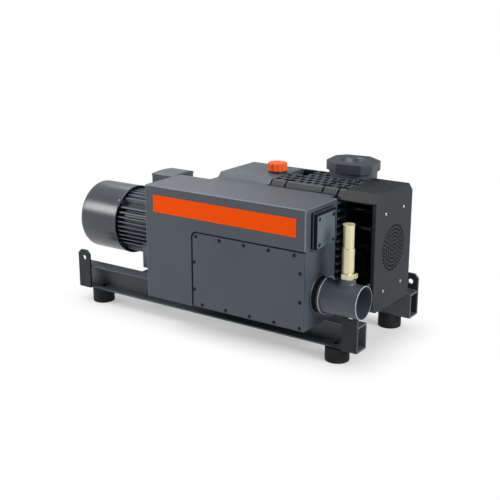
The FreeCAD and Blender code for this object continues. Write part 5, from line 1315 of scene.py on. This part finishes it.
# %% Mould the glands
gland_across, nut_across = 0.0277, 0.0226
bm = bmesh.new()
for low, high in solids_in("cable_glands"):
    centre = middle(low, high)
    base = low[0]
    lathe(bm, [(base, 0.0), (base, 0.0160), (base + 0.0088, 0.0160), (base + 0.0100, 0.0146), (base + 0.0100, 0.0)],
          centre, "X", 48, hexagonal(gland_across))
    lathe(bm, [(base + 0.0100, 0.0), (base + 0.0100, 0.0118), (base + 0.0120, 0.0118), (base + 0.0120, 0.0120),
               (high[0] - 0.0060, 0.0120), (high[0] - 0.0030, 0.0113), (high[0] - 0.0008, 0.0098),
               (high[0], 0.0086), (high[0], 0.0080), (high[0] - 0.0150, 0.0076), (high[0] - 0.0150, 0.0)],
          centre, "X", 48, hexagonal(nut_across))
new_piece("gland_bodies", bm, black_plastic, "cable_glands", edge=0.0003, segments=1)
print("glands:", len(solids_in("cable_glands")))

# %% [markdown]
# ## Painted shade behind the vents
#
# A black disc laid just behind the hood's wall is painted shade that makes the vents look deep. From outside it only
# shows through the vents, so it is a cut disc.

# %% Cut the shade disc
bm = bmesh.new()
shade_disc_radius = vent_pitch * vent_rings + 0.012
wall_back = hood_high[0] - metal
cut_sheet(bm, [circle(vent_y, vent_z, shade_disc_radius, 96)], wall_back - 0.0022, wall_back - 0.0008, "X", 0.0003)
new_piece("vent_shade_disc", bm, seal_rubber, "fan_hood", instead=False)
print("screen radius", round(shade_disc_radius, 4))

# %% [markdown]
# ## Painted highlights on round edges
#
# Round sheet edges lose their paint first, and they catch the light. The cowl's rolled rim, the pipe's cut end and
# the collar's corner each get a thin bead of light paint, turned on the same lathe: a painted highlight. Round the
# collar's sleeve a black band behind the bead is painted shade.

# %% Turn the highlight beads
def highlight_bead(name, place, x, radius, thick, like):
    """A round hoop of light paint about a level axis: a painted highlight."""
    mesh = bmesh.new()
    lathe(mesh, arc(x, radius, thick, thick, 0, 324, 9), place, "X", 96, closed=True)
    new_piece(name, mesh, highlight_paint, like, instead=False)


collar_axis = middle(collar_low, collar_high)
highlight_bead("cowl_highlight_bead", cowl_axis, bead_at, cowl_radius - 0.0014, 0.0026, "fan_cowl")
highlight_bead("pipe_end_highlight_bead", collar_axis, pipe_high[0] - 0.0022, pipe_radius - 0.0006, 0.0021, "discharge_pipe")
highlight_bead("collar_highlight_bead", collar_axis, collar_high[0] - 0.0012, flange_radius - 0.0012, 0.0016, "discharge_flange")
# A black band round the collar's sleeve: painted shade behind the highlight bead.
bm = bmesh.new()
lathe(bm, [(collar_low[0] + 0.0085, collar_radius - 0.001), (collar_low[0] + 0.0085, collar_radius + 0.0014),
           (collar_high[0] - 0.0160, collar_radius + 0.0014), (collar_high[0] - 0.0160, collar_radius - 0.001)],
      collar_axis, "X", 96, closed=True)
new_piece("collar_shade_band", bm, seal_rubber, "discharge_flange", instead=False)
print("beads on radii", round(cowl_radius, 3), round(pipe_radius, 3), round(flange_radius, 3))

# %% [markdown]
# ## Inlet bore
#
# The cast inlet flange is machined where the suction pipe centres: its bore is bare metal with a small chamfer
# at the mouth, which catches the light from the rear. A thin turned sleeve gives that surface.

# %% Turn the bore's surface
inlet_low, inlet_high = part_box("inlet_flange")
bore_radius = 0.067
bm = bmesh.new()
lathe(bm, [(inlet_low[2], bore_radius - 0.0002), (inlet_high[2] - 0.0015, bore_radius - 0.0002),
           (inlet_high[2] - 0.0001, bore_radius + 0.0014), (inlet_high[2] - 0.0012, bore_radius + 0.0004),
           (inlet_low[2], bore_radius)], middle(inlet_low, inlet_high), "Z", 96, closed=True)
new_piece("bore_surface", bm, turned_steel, "inlet_flange", instead=False)
print("bore lined from z", round(inlet_low[2], 4), "to", round(inlet_high[2], 4))

# %% [markdown]
# ## Valve springs
#
# Both valves close by a coil spring of round wire, wound on a mandrel and cut. When a valve opens, its disc pushes
# one end of the spring and the coils close up. Each spring is wound here as one swept wire.

# %% Wind the springs
def wound_wire(bm, place, low, high, radius, turns, wire, steps=28, around=10):
    """One swept round wire from the low to the high end."""
    count = turns * steps
    rings = []
    for step in range(count + 1):
        angle = 2 * math.pi * step / steps
        rise = low + wire / 2 + (high - low - wire) * step / count
        rings.append([bm.verts.new((place[0] + reach * math.cos(angle), place[1] + reach * math.sin(angle), z))
                      for reach, z in circle(radius, rise, wire / 2, around)])
    skin(bm, rings, ends=True)


wire = 0.0030
thinner = 0.0004
gap = 0.0001
for spring, turns, joint, travel, fixed_end in (("relief_spring", 7, "relief_lift", 0.006, "high"),
                                                ("nonreturn_spring", 4, "inlet_drop", 0.020, "low")):
    spring_low, spring_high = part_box(spring)
    centre = middle(spring_low, spring_high)
    radius = (spring_high[1] - spring_low[1]) / 2 - wire / 2
    bm = bmesh.new()
    wound_wire(bm, centre, spring_low[2] + gap, spring_high[2] - gap, radius, turns, wire - thinner)
    piece = new_piece(spring + "_wire", bm, spring_steel, spring)
    end = spring_high[2] if fixed_end == "high" else spring_low[2]
    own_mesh(piece)

# %% [markdown]
# ## Weld seams
#
# The lifting plates are welded to the tips of the channels. A hand-made seam is a row of overlapping ripples,
# so the bead is a half-round strip whose radius swells and falls a little from ripple to ripple.

# %% Lay the seams
def seam(bm, start, stop, radius, ripple=0.0035):
    """A rippled bead from start to stop."""
    start, stop = Vector(start), Vector(stop)
    along = (stop - start).normalized()
    side = along.orthogonal().normalized()
    up = along.cross(side)
    steps = max(8, int((stop - start).length / ripple) * 4)
    rings = []
    for k in range(steps + 1):
        share = k / steps
        swell = 1.0 + 0.13 * math.sin(share * (stop - start).length / ripple * 2 * math.pi)
        end = min(1.0, 6.0 * min(share, 1 - share) + 0.25)
        size = radius * swell * end
        centre = start.lerp(stop, share)
        rings.append([bm.verts.new(centre + (side * math.cos(a) + up * math.sin(a)) * size)
                      for a in (2 * math.pi * n / 10 for n in range(10))])
    skin(bm, rings, ends=True)


beam_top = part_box("front_beam")[1][2]
seam_radius, seam_end = 0.0030, 0.004
bm = bmesh.new()
for low, high in solids_in("lifting_lugs"):
    inner = high[1] if high[1] < 0 else low[1]
    seam(bm, (low[0] + seam_end, inner, beam_top), (high[0] - seam_end, inner, beam_top), seam_radius)
new_piece("lug_seams", bm, frame_paint, "lifting_lugs", instead=False)
print("seams laid, pieces in all:", len(made))
